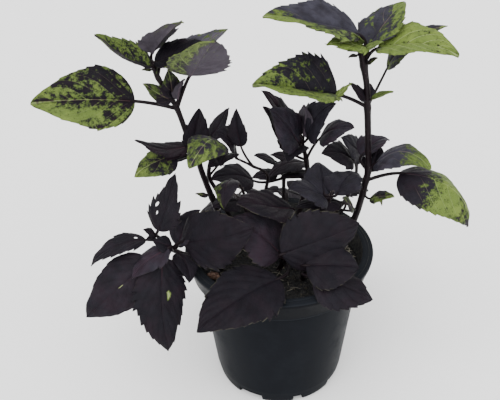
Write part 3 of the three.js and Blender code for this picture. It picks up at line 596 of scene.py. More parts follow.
class Blade:
    """A leaf blade as a grid of points: u runs from its base to its tip, v across from -1 to 1."""

    def __init__(self, leaf):
        self.width, self.look = leaf[3], leaf[-1]
        self.traits = dict(zip(LOOK_FIELDS, LOOKS[self.look]))
        self.sheet, self.length = blade_sheet(leaf)
        teeth = round(self.length / TOOTH_SPACING + self.width / TOOTH_WIDENING)
        self.teeth = int(np.clip(teeth, FEWEST_TEETH, MOST_TEETH))
        self.veins = int(np.clip(round(self.length / VEIN_SPACING), FEWEST_VEINS, MOST_VEINS))
        places, self.reach, self.number = blade_rows(self.teeth)
        halves = np.array(HALF_COLUMNS if self.width >= LARGE_BLADE else HALF_COLUMNS_SMALL)
        across = np.concatenate([-halves[:0:-1], halves])
        self.u, self.v = np.meshgrid(places, across, indexing="ij")
        self.taken = np.zeros((len(places) - 1, len(across) - 1), bool)
        for mark in HOLES.get(self.look, ()):
            self.open_hole(mark)
        self.aside = np.abs(self.v)
        self.on_right = (self.v > 0).astype(int)
        self.half = self.width / 2 * outline(self.u)

    def reach_from(self, mark, u, v):
        """How far places on the blade are from a mark's middle, 1 at the mark's edge."""
        at, aside, long, wide = mark
        return np.hypot((u - at) * self.length / long, (v - aside) * self.width / 2 * outline(at) / wide)

    def open_hole(self, mark):
        """Takes out the cells of the grid in a mark, and moves the points round them onto its edge."""
        middle_u = (self.u[:-1, :-1] + self.u[1:, 1:]) / 2
        middle_v = (self.v[:-1, :-1] + self.v[1:, 1:]) / 2
        taken = self.reach_from(mark, middle_u, middle_v) < 1
        beside_taken, beside_kept = np.zeros(self.u.shape, bool), np.zeros(self.u.shape, bool)
        for down in (0, 1):
            for over in (0, 1):
                window = np.s_[down:down + taken.shape[0], over:over + taken.shape[1]]
                beside_taken[window] |= taken
                beside_kept[window] |= ~taken
        edge = beside_taken & beside_kept
        pull = 1 / np.clip(self.reach_from(mark, self.u, self.v), 0.4, None)[edge]
        for places, middle in ((self.u, mark[0]), (self.v, mark[1])):
            places[edge] = middle + (places[edge] - middle) * pull
        self.taken |= taken

    def toothed_places(self, rng):
        """Where the points are with teeth of uneven size, each leaning towards the tip."""
        edge = smooth(TOOTHED_INWARD, 1.0, self.aside)
        sizes = self.traits["teeth"] * rng.uniform(*TOOTH_SIZES, size=(self.teeth, 2))
        tooth = self.reach[:, None] * edge * sizes[self.number[:, None], self.on_right]
        lean = TOOTH_LEAN * (TOOTHED_TO - TOOTHED_FROM) / self.teeth
        towards_tip = np.clip((self.u - PINCH_FROM) / (1 - PINCH_FROM), 0, 1)
        pinch = self.traits["acute"] * 4 * towards_tip * (1 - towards_tip)
        return self.u + lean * tooth, self.v * (1 + TOOTH_REACH * tooth - 0.02 * edge) * (1 - pinch)

    def draw_veins(self, rng):
        """Lateral veins leave the midrib and curve towards the tip; phase is whole on each of them."""
        start = rng.uniform(-0.15, 0.15)
        self.phase = self.veins * (self.u * 1.12 - 0.36 * self.aside - 0.16 * self.aside ** 2) + start

    def relief(self, rng):
        """How far the skin stands out: swollen between the veins, grooved, ruffled and drooping."""
        u, v, aside, width = self.u, self.v, self.aside, self.width
        between = np.abs(np.sin(math.pi * self.phase)) ** 0.7
        swell = SWELL * width ** 0.9 * between * smooth(0.0, 0.2, aside)
        swell = swell * (1 - 0.75 * smooth(0.75, 1.0, aside))
        swell = swell * smooth(0.0, 0.12, u) * (1 - 0.6 * smooth(0.85, 1.0, u))
        groove = hump(aside * self.half, GROOVE_WIDTH) * (0.2 + 0.01 * width) * (1 - 0.7 * u)
        turns = rng.uniform(*RUFFLE_TURNS, size=2)[self.on_right]
        offset = rng.uniform(0, FULL_TURN, size=2)[self.on_right]
        ruffle = RUFFLE * width * aside ** 3 * np.sin(FULL_TURN * turns * u + offset) * smooth(0, 0.15, u)
        along, over, _ = rng.uniform(0, FULL_TURN, size=3)
        wave = WAVE * width * np.sin(FULL_TURN * 1.1 * u + along) * np.sin(2.4 * v + over)
        droop = DROOP * self.length * smooth(0.78, 1.0, u) ** 2
        return swell - groove + ruffle + wave * smooth(0, 0.2, u) - droop

    def skin_points(self, rng):
        """The points of the upper and the lower skin."""
        toothed = self.toothed_places(rng)
        self.draw_veins(rng)
        normal = sheet_normal(self.sheet, self.u, self.v)
        middle = self.sheet(*toothed) + normal * self.relief(rng)[..., None]
        rib = MIDRIB_HEIGHT * hump(self.aside * self.half, MIDRIB_WIDTH) * (1 - 0.75 * self.u)
        rib = rib * min(self.width / 30, 1)
        beside_vein = np.abs(self.phase - np.round(self.phase)) * self.length / self.veins
        ridge = VEIN_HEIGHT * hump(beside_vein, VEIN_WIDTH) * (1 - self.aside)
        half_thick = BLADE_THICKNESS * (1 - 0.45 * smooth(0.85, 1.0, self.aside)) / 2
        below = half_thick + rib + ridge
        return middle + normal * half_thick[..., None], middle - normal * below[..., None]

    def layers(self, seed):
        """The leaf coordinates and the paint of each point, for the leaf's material."""
        traits = self.traits
        green = np.interp(self.u, (0, 0.5, 1), (traits["base"], traits["middle"], traits["tip"]))
        beside = traits["left"] * smooth(0.1, 0.5, -self.v) + traits["right"] * smooth(0.1, 0.5, self.v)
        grey = traits["grey"] * (1 - np.clip(beside, 0, 1))
        paint = stacked(green + beside, traits["blotch"], traits["bright"], grey)
        for mark in PALE_SPOTS.get(self.look, ()):
            spot = 1 - smooth(0.6, 1.1, self.reach_from(mark, self.u, self.v))
            paint += PALE_SPOT_PAINT * spot[..., None]
        others = [np.full_like(green, traits[name]) for name in ("red", "rim", "specks", "fine")]
        return {
            "blade": stacked(self.phase + 10, self.v, self.length / self.veins),
            "place": stacked(self.u * self.length, self.v * self.half, seed),
            "paint": paint,
            "traits": stacked(*others),
        }


def add_blade(form, leaf, rng):
    """Adds a blade's upper and lower skin, and the walls between them round its edge and its holes."""
    blade = Blade(leaf)
    points = np.stack(blade.skin_points(rng))
    layers = blade.layers(rng.uniform(0, 60))
    upper = grid_faces(*blade.u.shape)[~blade.taken.ravel()]
    lower = upper[:, ::-1] + blade.u.size
    starts, ends = border(upper)
    walls = np.stack([ends, starts, starts + blade.u.size, ends + blade.u.size], 1)
    form.add(points, [(upper, LEAF_UPPER), (lower, LEAF_UNDER), (walls, LEAF_UPPER)],
             **{name: np.stack([values, values]) for name, values in layers.items()})


def add_tube(form, centres, radii, sides, slot, square=0.0, tint=0.0):
    """A smooth tapered tube along the centres, closed at both ends."""
    along = unit(np.gradient(centres, axis=0))
    across = unit(np.cross(TUBE_ASIDE, along))
    third = np.cross(along, across)
    angle = angles(sides)
    girth = 1 + square * np.cos(4 * angle)
    ring = (across[:, None, :] * (np.cos(angle) * girth)[None, :, None]
            + third[:, None, :] * (np.sin(angle) * girth)[None, :, None])
    points = centres[:, None, :] + ring * radii[:, None, None]
    run = np.concatenate([[0], np.cumsum(np.linalg.norm(np.diff(centres, axis=0), axis=1))])
    place = stacked(run[:, None], angle, tint * 40).reshape(-1, 3)
    ends = [centres[0] - along[0] * radii[0] * 0.3, centres[-1] + along[-1] * radii[-1] * 0.6]
    form.add(np.vstack([points.reshape(-1, 3), ends]),
             [(faces, slot) for faces in closed_faces(len(centres), sides)],
             place=np.vstack([place, place[:2]]))


def add_stem(form, route, leaves, tint):
    centres = catmull_rom(route[:, :3], STEM_STEPS)
    radii = catmull_rom(route[:, 3:], STEM_STEPS)[:, 0]
    for at in sorted({leaf[0] for leaf in leaves}):
        away = np.linalg.norm(centres - route[at, :3], axis=1)
        radii = radii * (1 + STALK_FOOT_SWELL * hump(away, STALK_FOOT_REACH))
    add_tube(form, centres, radii, STEM_SIDES, STEM, square=STEM_SQUARENESS, tint=tint)


def add_stalk(form, leaf, route, tint):
    """A stalk that leaves the stem, swings into line with the blade and runs on under it."""
    start, neck = route[leaf[0], :3], np.asarray(leaf[1], float)
    sheet, length = blade_sheet(leaf)
    leaving = unit(sheet(np.array([0.04]), np.zeros(1))[0] - neck)
    bend = neck - leaving * 0.4 * np.linalg.norm(neck - start)
    t = np.linspace(0, 1, STALK_STEPS)[:, None]
    centres = (1 - t) ** 2 * start + 2 * t * (1 - t) * bend + t ** 2 * neck
    run_on = STALK_RUN_ON * min(2.5, 0.2 * length) / length
    centres = np.vstack([centres, sheet(run_on, np.zeros(3))])
    thick = min(0.5 + 0.012 * leaf[3], THICKEST_STALK)
    radii = thick * (1.25 - 0.35 * np.linspace(0, 1, len(centres)))
    radii[-3:] = STALK_END * thick
    add_tube(form, centres, radii, STALK_SIDES, STEM, tint=tint)


def add_hairs(form, route, rng):
    """Fine short hairs along the stem, each a spike on three corners."""
    centres = catmull_rom(route[:, :3], HAIR_STEPS)
    radii = catmull_rom(route[:, 3:], HAIR_STEPS)[:, 0]
    for _ in range(HAIRS_PER_STEM):
        spot = rng.integers(1, len(centres) - 1)
        stretch = centres[spot + 1] - centres[spot]
        along = unit(stretch)
        out = unit(np.cross(along, rng.normal(size=3)))
        root = centres[spot] + stretch * rng.uniform() + out * radii[spot] * 0.95
        tip = root + (out + 0.3 * rng.normal(size=3)) * rng.uniform(*HAIR_LENGTHS)
        forward, aside = along * HAIR_THICKNESS, np.cross(out, along) * HAIR_THICKNESS
        corners = [root + forward, root - forward * 0.5 + aside, root - forward * 0.5 - aside, tip]
        form.add(corners, [([[0, 1, 3], [1, 2, 3], [2, 0, 3]], HAIR)])


def make_shoot(name, seed, materials):
    rng = np.random.default_rng(seed)
    route, leaves = np.array(ROUTES[name], float), LEAVES[name]
    form = Form()
    tint = rng.uniform()
    add_stem(form, route, leaves, tint)
    for leaf in leaves:
        add_stalk(form, leaf, route, tint)
        add_blade(form, leaf, rng)
    for lobe in LOBES.get(name, ()):
        add_blade(form, lobe, rng)
    add_hairs(form, route, rng)
    form.make(name + "_foliage", name, materials, layered=True)


# Materials

def shade(*display):
    """A colour in linear light from its red, green and blue as 0 to 255 display values."""
    shares = [value / 255 for value in display]
    return (*(share / 12.92 if share <= 0.04045 else ((share + 0.055) / 1.055) ** 2.4
              for share in shares), 1.0)


DARK_PURPLE = shade(15, 13, 17)
WARM_PURPLE = shade(19, 15, 19)
RED_PURPLE = shade(36, 20, 28)
GREY_PURPLE_SHEEN = shade(59, 58, 68)
UNDER_GREY = shade(91, 85, 94)
PURPLE_VEIN = shade(32, 25, 31)
TAN_VEIN = shade(112, 98, 88)
RED_VEIN = shade(56, 32, 39)
FLUSHED_VEIN = shade(86, 54, 64)
DULL_GREEN = shade(60, 74, 36)
BRIGHT_GREEN = shade(94, 112, 50)
YELLOW_GREEN = shade(112, 128, 58)
DEEP_GREEN = shade(38, 48, 24)
PALE_GREEN = shade(136, 148, 100)
RIM_GREEN = shade(72, 70, 58)
STEM_DARK = shade(12, 9, 12)
STEM_RED = shade(26, 17, 21)
STEM_CORKY = shade(34, 30, 26)
HAIR_PINK = shade(120, 100, 105)
HAIR_PALE = shade(170, 160, 150)
POT_DARK = shade(16, 18, 22)
POT_DUSTY = shade(21, 23, 27)
POT_SCUFF = shade(28, 30, 33)
# Painted shade on the collar.
POT_COLLAR_PAINTED_SHADE = shade(10, 11, 14)
# Painted light on the top of the rim.
POT_LIP_PAINTED_LIGHT = shade(25, 27, 31)
# Painted highlight along the collar's foot edge.
POT_EDGE_HIGHLIGHT = shade(34, 36, 40)
PEAT_DARK = shade(19, 19, 20)
PEAT_GREY = shade(42, 42, 43)
PEAT_PALE = shade(104, 101, 94)
BARK_DARK = shade(70, 48, 40)
BARK_ORANGE = shade(128, 96, 80)
BARK_PALE = shade(170, 146, 130)
FLOOR_WHITES = shade(247, 247, 247), shade(252, 252, 252)


class Value:
    """A number, place or colour that nodes work out; sums, products and steps of it are nodes too."""

    def __init__(self, shader, socket):
        self.shader, self.socket = shader, socket

    def __add__(self, other):
        return self.shader.math("ADD", self, other)

    def __mul__(self, other):
        return self.shader.math("MULTIPLY", self, other)

    def __sub__(self, other):
        return self.shader.math("SUBTRACT", self, other)

    def __rsub__(self, other):
        return self.shader.math("SUBTRACT", other, self)

    def __truediv__(self, other):
        return self.shader.math("DIVIDE", self, other)

    def __abs__(self):
        return self.shader.math("ABSOLUTE", self)

    def step(self, low, high, to_low=0.0, to_high=1.0):
        """A smooth step from low to high."""
        inputs = dict(enumerate((self, low, high, to_low, to_high)))
        return self.shader.node("ShaderNodeMapRange", inputs, interpolation_type="SMOOTHSTEP")

    def fade(self, low, high):
        """A smooth step down, from 1 at low to 0 at high."""
        return self.step(low, high, 1.0, 0.0)


class Shader:
    """A material's node tree, with short words for the nodes that it needs."""

    def __init__(self, name, roughness=0.5, specular=0.5):
        self.material = bpy.data.materials.new(name)
        self.material.use_nodes = True
        self.tree = self.material.node_tree
        self.surface = self.tree.nodes["Principled BSDF"].inputs
        self.surface["Roughness"].default_value = roughness
        self.surface["Specular IOR Level"].default_value = specular

    def put(self, socket, value):
        if isinstance(value, Value):
            self.tree.links.new(value.socket, socket)
        else:
            socket.default_value = value

    def outputs(self, kind, inputs=(), **settings):
        """Makes a node with its settings and inputs, and returns all its outputs."""
        made = self.tree.nodes.new(kind)
        for key, value in settings.items():
            setattr(made, key, value)
        for key, value in dict(inputs).items():
            self.put(made.inputs[key], value)
        return made.outputs

    def node(self, kind, inputs=(), output=0, **settings):
        return Value(self, self.outputs(kind, inputs, **settings)[output])

    def math(self, operation, *values):
        return self.node("ShaderNodeMath", dict(enumerate(values)), operation=operation)

    def mix(self, share, a, b):
        return self.node("ShaderNodeMix", {0: share, 6: a, 7: b}, 2, data_type="RGBA")

    def noise(self, vector, scale, detail=3.0, rough=0.55):
        inputs = {"Vector": vector, "Scale": scale, "Detail": detail, "Roughness": rough}
        return self.node("ShaderNodeTexNoise", inputs, "Fac")

    def cells(self, vector, scale, feature="F1"):
        inputs = {"Vector": vector, "Scale": scale}
        return self.node("ShaderNodeTexVoronoi", inputs, "Distance", feature=feature)

    def split(self, vector):
        return [Value(self, part) for part in self.outputs("ShaderNodeSeparateXYZ", {0: vector})]

    def join(self, x, y, z):
        return self.node("ShaderNodeCombineXYZ", {0: x, 1: y, 2: z})

    def layer(self, name):
        """The place or numbers that a piece's points hold under a name."""
        return self.node("ShaderNodeAttribute", (), "Vector", attribute_name=name)

    def colour_layer(self, name):
        outputs = self.outputs("ShaderNodeAttribute", attribute_name=name)
        parts = self.outputs("ShaderNodeSeparateColor", {0: Value(self, outputs["Color"])})
        return [Value(self, part) for part in (*parts, outputs["Alpha"])]

    def place(self):
        """The point's own place in millimetres."""
        here = self.node("ShaderNodeTexCoord", (), "Object")
        return self.node("ShaderNodeVectorMath", {0: here, "Scale": 1 / MM}, operation="SCALE")

    def finish(self, colour, roughness=None, height=None, distance=0.0, strength=1.0):
        """Joins the colour, roughness and bump height to the surface; distance is in millimetres."""
        self.put(self.surface["Base Color"], colour)
        if roughness:
            self.put(self.surface["Roughness"], roughness)
        if height:
            inputs = {"Height": height, "Distance": distance * MM, "Strength": strength}
            self.put(self.surface["Normal"], self.node("ShaderNodeBump", inputs))
        return self.material


class LeafShader(Shader):
    """Purple and green leaf skin; its paint comes from the blade's own layers.

    Each pair says where a smooth step starts and ends, in millimetres or as a share.
    """

    MIDRIB_EDGE = (0.1, 0.45)
    VEIN_EDGE = (0.04, 0.3)
    VEIN_ENDS = (0.55, 0.98)
    NET_EDGE = (0.0, 0.09)
    FINE_NET_EDGE = (0.0, 0.1)
    BLOTCH_EDGE = (0.4, 0.54)
    SPECK_EDGE = (0.63, 0.69)
    RIM_BAND = (0.965, 1.0)
    FLUSH_LENGTH = (1.0, 17.0)
    FLUSH_WIDTH = (0.15, 0.75)

    def __init__(self, name, under):
        super().__init__(name, specular=0.05)
        self.under = under
        self.phase, self.across, self.spacing = self.split(self.layer("blade"))
        self.here = self.layer("place")
        self.from_start, self.from_rib, self.seed = self.split(self.here)
        self.green_share, self.blotch, self.bright, self.grey = self.colour_layer("paint")
        self.red, self.rim, self.specks, self.fine = self.colour_layer("traits")
        self.patch = self.noise(self.here, 0.09, 3.0, 0.6)
        self.vivid = self.bright.step(0.6, 0.72)
        self.mottled = self.green_share.step(0.05, 0.35)
        self.fine_net = self.cells(self.here, 1.1, "DISTANCE_TO_EDGE").fade(*self.FINE_NET_EDGE)

    def find_veins(self):
        """The midrib, and the lateral veins wherever the phase is whole."""
        self.midrib = abs(self.from_rib).fade(*self.MIDRIB_EDGE)
        to_vein = 0.5 - abs(self.math("FRACT", self.phase) - 0.5)
        lateral = (to_vein * self.spacing / (self.vivid * 0.9 + 1.0)).fade(*self.VEIN_EDGE)
        self.lateral = lateral * abs(self.across).fade(*self.VEIN_ENDS)
        self.veins = self.math("MAXIMUM", self.midrib, self.lateral)

    def find_green(self):
        """Where the skin is green: ragged blotches, specks, and a share for each field between veins."""
        ragged = self.noise(self.here, self.fine * 0.4 + 0.15, 8.0, 0.68)
        field = self.join(self.math("FLOOR", self.phase), self.math("SIGN", self.across),
                          self.math("FLOOR", self.seed))
        field = self.node("ShaderNodeTexWhiteNoise", {"Vector": field}, "Value")
        level = (0.5 - ragged) * (self.blotch * 2.6 + 1.0) + (field - 0.5) * (self.blotch * 0.55)
        level = self.green_share + level + self.veins * 0.1
        self.near_blotch = level.fade(0.5, 1.0)
        speck_level = self.noise(self.here, 0.8, 2.0, 0.6) + self.near_blotch * 0.1
        self.green = level.step(*self.BLOTCH_EDGE) * (1.0 - self.specks * speck_level.step(*self.SPECK_EDGE))

    def purple_colour(self):
        purple = self.mix(self.patch.step(0.35, 0.7), DARK_PURPLE, WARM_PURPLE)
        purple = self.mix(self.red * self.patch.step(0.3, 0.75), purple, RED_PURPLE)
        # Grey patches: partly the skin's own grey-purple, partly painted sheen on the upper skin.
        greyed = self.grey * self.noise(self.here, 0.16).step(0.25, 0.75, 0.3, 0.8)
        grey_colour = UNDER_GREY
        if not self.under:
            grey_colour = self.mix(self.grey.step(1.0, 2.0), GREY_PURPLE_SHEEN, UNDER_GREY)
        return self.mix(self.math("MINIMUM", greyed, 0.9), purple, grey_colour)

    def green_colour(self):
        leafy = self.mix(self.bright, DULL_GREEN, BRIGHT_GREEN)
        leafy = self.mix(self.patch.step(0.45, 0.7, 0.0, 0.4), leafy, YELLOW_GREEN)
        shaded = self.near_blotch * 0.7 + self.noise(self.here, 0.3, 5.0, 0.7).step(0.5, 0.66, 0.0, 0.5)
        leafy = self.mix(self.math("MINIMUM", shaded, 0.9), leafy, DEEP_GREEN)
        leafy = self.mix(self.fine_net * 0.15, leafy, PALE_GREEN)
        return self.mix(self.bright.step(1.1, 1.8, 0.0, 0.8), leafy, PALE_GREEN)

    def rimmed(self, colour):
        """The colour with a pale rim that comes and goes."""
        band = abs(self.across).step(*self.RIM_BAND) * self.rim
        band = band * self.noise(self.here, 0.3).step(0.42, 0.54)
        return self.mix(band * 0.7, colour, RIM_GREEN)

    def veined(self, colour):
        """The colour with its veins, and a red flush on the midrib near the stalk."""
        vein = self.mix(self.mottled, self.mix(self.red, PURPLE_VEIN, RED_VEIN), TAN_VEIN)
        vein = self.mix(self.green, vein, PALE_GREEN)
        show = self.math("MAXIMUM", self.midrib, self.lateral * 0.75)
        colour = self.mix(show * (self.vivid * 0.4 + self.mottled * 0.22 + 0.16), colour, vein)
        flushed = self.from_start.fade(*self.FLUSH_LENGTH) * self.red.step(0.12, 0.4, 0.0, 0.3)
        flushed = flushed * abs(self.from_rib).fade(*self.FLUSH_WIDTH)
        flushed = flushed * self.mottled.step(0.0, 1.0, 1.0, 0.3)
        return self.mix(flushed, colour, FLUSHED_VEIN)

    def painted(self):
        self.find_veins()
        self.find_green()
        colour = self.mix(self.green, self.purple_colour(), self.green_colour())
        colour = self.veined(self.rimmed(colour))
        if self.under:
            colour = self.mix(self.grey * 0.3 + 0.12, colour, UNDER_GREY)
        roughness = self.noise(self.here, 0.5, 4.0) * 0.22 + (0.48 if self.under else 0.34)
        net = self.cells(self.here, 0.42, "DISTANCE_TO_EDGE").fade(*self.NET_EDGE)
        height = net * -0.5 + self.fine_net * -0.22 + self.noise(self.here, 2.6) * 0.25 + self.veins * -0.6
        return self.finish(colour, roughness, height * -1.0 if self.under else height, 0.28, 0.7)


def stem_material():
    """Dark purple-brown bark of young stems, redder where light, with fine length-wise streaks."""
    s = Shader("young stem", specular=0.1)
    run, angle, tint = s.split(s.layer("place"))
    streaks = s.noise(s.join(run * 0.12, angle * 2.2, tint), 2.0, 4.0, 0.6)
    colour = s.mix(streaks.step(0.3, 0.7), STEM_DARK, STEM_RED)
    spots = s.noise(s.place(), 0.5, 4.0).step(0.58, 0.7, 0.0, 0.4)
    return s.finish(s.mix(spots, colour, STEM_CORKY), streaks * 0.2 + 0.38, streaks, 0.15, 0.6)


def hair_material():
    s = Shader("stem hair", roughness=0.6)
    return s.finish(s.mix(s.noise(s.place(), 0.4), HAIR_PINK, HAIR_PALE))


def pot_material():
    """Satin black-grey moulded plastic, with faint turning marks and a little dust."""
    s = Shader("pot plastic", specular=0.02)
    here = s.place()
    x, y, height = s.split(here)
    dust = s.noise(here, 0.07, 5.0, 0.65).step(0.42, 0.75)
    scuffs = s.noise(s.join(x * 0.3, y, height), 0.55, 5.0, 0.7).step(0.66, 0.74, 0.0, 0.25)
    colour = s.mix(scuffs, s.mix(dust, POT_DARK, POT_DUSTY), POT_SCUFF)
    # Painted shade: the collar, from its foot up, is darkened to stand in for the shade of the leaves over
    # it.
    colour = s.mix(height.step(NECK_HEIGHT - 1, NECK_HEIGHT + 1, 0.0, 0.8), colour, POT_COLLAR_PAINTED_SHADE)
    # Painted highlight: a lighter line round the collar's foot edge.
    from_foot = abs(height - (NECK_HEIGHT + 0.5))
    colour = s.mix(from_foot.step(0.2, 0.9, 0.5, 0.0), colour, POT_EDGE_HIGHLIGHT)
    # Painted light: the top of the rim is lighter, standing in for the light that the leaves over it keep
    # off.
    colour = s.mix(height.step(POT_HEIGHT - 1.4, POT_HEIGHT - 0.3), colour, POT_LIP_PAINTED_LIGHT)
    rings = s.noise(s.join(0.0, 0.0, height * 1.6), 1.4, 2.0)
    return s.finish(colour, dust * 0.16 + 0.36, s.noise(here, 3.2) * 0.5 + rings * 0.6, 0.08, 0.5)


def soil_material():
    s = Shader("potting soil", roughness=0.92, specular=0.08)
    here = s.place()
    lumps = s.noise(here, 0.35, 6.0, 0.7)
    colour = s.mix(lumps.step(0.3, 0.7), PEAT_DARK, PEAT_GREY)
    colour = s.mix(s.noise(here, 1.8).step(0.57, 0.66, 0.0, 0.7), colour, PEAT_PALE)
    return s.finish(colour, height=lumps + s.cells(here, 1.3) * 0.5, distance=1.0, strength=0.9)


def bark_material():
    """Orange-brown bark with darker layers and a pale worn face."""
    s = Shader("bark chip", roughness=0.75, specular=0.3)
    x, y, z = s.split(s.place())
    layers = s.noise(s.join(x * 0.25, y * 1.2, z * 3.0), 1.0, 5.0)
    colour = s.mix(layers.step(0.35, 0.65), BARK_DARK, BARK_ORANGE)
    colour = s.mix(s.noise(s.place(), 0.5).step(0.56, 0.66, 0.0, 0.8), colour, BARK_PALE)
    return s.finish(colour, height=layers, distance=0.4)


def grainy_material(name, first, second, scale, roughness, specular=0.3):
    s = Shader(name, roughness, specular)
    grain = s.noise(s.place(), scale, 4.0, 0.65)
    return s.finish(s.mix(grain.step(0.3, 0.7), shade(*first), shade(*second)), height=grain, distance=0.2)


# Pot, soil and chip

def plain_mesh(name, points, faces):
    mesh = bpy.data.meshes.new(name)
    mesh.from_pydata((np.asarray(points) * MM).tolist(), [], faces)
    mesh.update()
    return mesh


def lathe(profile, sides):
    """Points and faces of a closed turned body; the profile runs from axis to axis."""
    rings = [level_ring(radius, height, sides) for radius, height in profile[1:-1]]
    faces, caps = closed_faces(len(rings), sides)
    points = np.vstack([*rings, [0, 0, profile[0][1]], [0, 0, profile[-1][1]]])
    return points, faces.tolist() + caps.tolist()


def slot_box(angle, width):
    half, middle = width / 2, -BASE_RADIUS - 1
    corners = [(x, middle + y, z) for x in (-half, half) for y in (-SLOT_DEPTH, SLOT_DEPTH)
               for z in (-SLOT_HEIGHT, SLOT_HEIGHT)]
    turn = Matrix.Rotation(math.radians(angle), 3, "Z")
    points = [list(turn @ Vector(corner)) for corner in corners]
    return points, [[0, 1, 3, 2], [4, 6, 7, 5], [0, 4, 5, 1], [2, 3, 7, 6], [0, 2, 6, 4], [1, 5, 7, 3]]


def edge_points(radius, height, edge):
    return [(radius + outward, height + upward) for outward, upward in edge]


def pot_profile():
    """Up the outside from the foot, over the rim, and down the inside."""
    return [
        (0, 0), *edge_points(BASE_RADIUS, 0, FOOT_EDGE), *FOOT_SIDE,
        *edge_points(HEEL_RADIUS, HEEL_HEIGHT, HEEL_EDGE),
        *edge_points(NECK_RADIUS, NECK_HEIGHT, NECK_EDGE),
        (LIP_RADIUS + WALL, POT_HEIGHT - WALL), (RIM_RADIUS - WALL - 0.4, POT_HEIGHT - WALL),
        *edge_points(COLLAR_FOOT_RADIUS, NECK_HEIGHT, COLLAR_FOOT_EDGE),
        *edge_points(RIM_RADIUS, POT_HEIGHT, RIM_EDGE), *edge_points(LIP_RADIUS, POT_HEIGHT, LIP_EDGE),
        (NECK_RADIUS - WALL + 1.6, NECK_HEIGHT + 6), (NECK_RADIUS - WALL, NECK_HEIGHT),
        (HEEL_RADIUS - WALL, HEEL_HEIGHT), (BASE_RADIUS + 0.4, FLOOR), (0, FLOOR),
    ]


def cut_slots(pot):
    """Cuts a wide and a narrow slot into each quarter of the foot."""
    cutters = []
    for quarter in range(4):
        for first, width in ((FIRST_WIDE_SLOT_ANGLE, WIDE_SLOT), (FIRST_NARROW_SLOT_ANGLE, NARROW_SLOT)):
            mesh = plain_mesh("slot_cutter", *slot_box(first + 90 * quarter, width))
            cutters.append(link_object("slot_cutter", mesh))
            cut = pot.modifiers.new("slot", "BOOLEAN")
            cut.operation = "DIFFERENCE"
            cut.object = cutters[-1]
    graph = bpy.context.evaluated_depsgraph_get()
    mesh = bpy.data.meshes.new_from_object(pot.evaluated_get(graph))
    pot.modifiers.clear()
    pot.data = mesh
    for cutter in cutters:
        bpy.data.objects.remove(cutter)


def make_pot():
    pot = link_object("pot_body", plain_mesh("pot_body", *lathe(pot_profile(), POT_SIDES)))
    cut_slots(pot)
    pot.data.materials.clear()
    pot.data.materials.append(pot_material())
    # The second material is painted light: a lighter, grainy colour for the inner wall above the soil, which
    # lies in deep shade.
    pot.data.materials.append(grainy_material("inner wall painted light", (38, 40, 43), (70, 69, 66), 0.6, 0.8, 0.02))
    for face in pot.data.polygons:
        face.use_smooth = True
        inward = face.normal.x * face.center.x + face.normal.y * face.center.y < -INNER_WALL_SLANT
        face.material_index = int(inward and face.center.z > SOIL_HEIGHT * MM)
    pot.data.set_sharp_from_angle(angle=SHARP_FOLD)
    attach(pot, "root")
    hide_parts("pot")


def soil_height(x, y):
    lumps = np.sin(x / 5.3 + 0.7) * np.cos(y / 6.1) + 0.5 * np.sin(x / 2.9 + y / 3.4)
    return SOIL_HEIGHT + SOIL_RELIEF * lumps


def add_lump(form, rng, x, y, size, slot, lift):
    """A small broken lump on the soil, as a rough ball that is stretched and turned at random."""
    theta = np.linspace(0.15, math.pi - 0.15, LUMP_SIDES)[:, None]
    angle = angles(LUMP_SIDES)
    radius = rng.uniform(0.65, 1.1, size=(LUMP_SIDES, LUMP_SIDES))[..., None]
    stretch = rng.uniform(0.6, 1.2, size=3)
    ball = stacked(np.sin(theta) * np.cos(angle), np.sin(theta) * np.sin(angle), np.cos(theta))
    axis = unit(rng.normal(size=3))
    turn = np.array(Quaternion(Vector(axis), rng.uniform(0, 6)).to_matrix())
    points = (ball * radius * stretch * size).reshape(-1, 3) @ turn.T
    points = np.vstack([points, points[:LUMP_SIDES].mean(0), points[-LUMP_SIDES:].mean(0)])
    skins = [(faces[:, ::-1], slot) for faces in closed_faces(LUMP_SIDES, LUMP_SIDES)]
    form.add(points + [x, y, soil_height(x, y) + size * lift], skins)


def add_fibre(form, rng, x, y):
    heading = rng.uniform(0, FULL_TURN)
    length = rng.uniform(*FIBRE_LENGTHS)
    t = np.linspace(-0.5, 0.5, FIBRE_POINTS)
    bow = np.sin(math.pi * (t + 0.5))
    aside = rng.uniform(-1.2, 1.2) * bow
    x = x + length * t * math.cos(heading) - aside * math.sin(heading)
    y = y + length * t * math.sin(heading) + aside * math.cos(heading)
    z = soil_height(x, y) + 0.5 + rng.uniform(0, 0.7) * bow
    radii = np.full(FIBRE_POINTS, rng.uniform(*FIBRE_RADII))
    add_tube(form, stacked(x, y, z), radii, FIBRE_SIDES, rng.choice([BROWN_CRUMB, FIBRE]))


def soil_points(rng, edge_radius, edge_height):
    """Rings up the inside of the pot and then inward over the crumbly top of the soil."""
    radii = np.linspace(edge_radius, 1.0, SOIL_RINGS)[:, None]
    x, y = radii * np.cos(angles(SOIL_SIDES)), radii * np.sin(angles(SOIL_SIDES))
    crumble = np.zeros_like(x)
    for scale, height in CRUMBLE:
        for _ in range(CRUMBLE_WAVES):
            heading, offset = rng.uniform(0, FULL_TURN, size=2)
            crumble += height * np.sin((x * math.cos(heading) + y * math.sin(heading)) / scale + offset
                                       + 1.4 * np.sin(y / scale / 1.7 + offset)) / 2
    near_edge = smooth(edge_radius - 3, edge_radius, np.hypot(x, y))
    z = soil_height(x, y) * (1 - near_edge) + edge_height * near_edge + crumble * (1 - 0.6 * near_edge)
    below = [(BASE_RADIUS - GAP, FLOOR + GAP), (HEEL_RADIUS - WALL - GAP, HEEL_HEIGHT + GAP),
             (NECK_RADIUS - WALL - GAP, NECK_HEIGHT)]
    rings = [level_ring(radius, height, SOIL_SIDES) for radius, height in below]
    ends = [[0, 0, FLOOR + GAP], [0, 0, z[-1].mean()]]
    return np.vstack([*rings, stacked(x, y, z).reshape(-1, 3), ends])


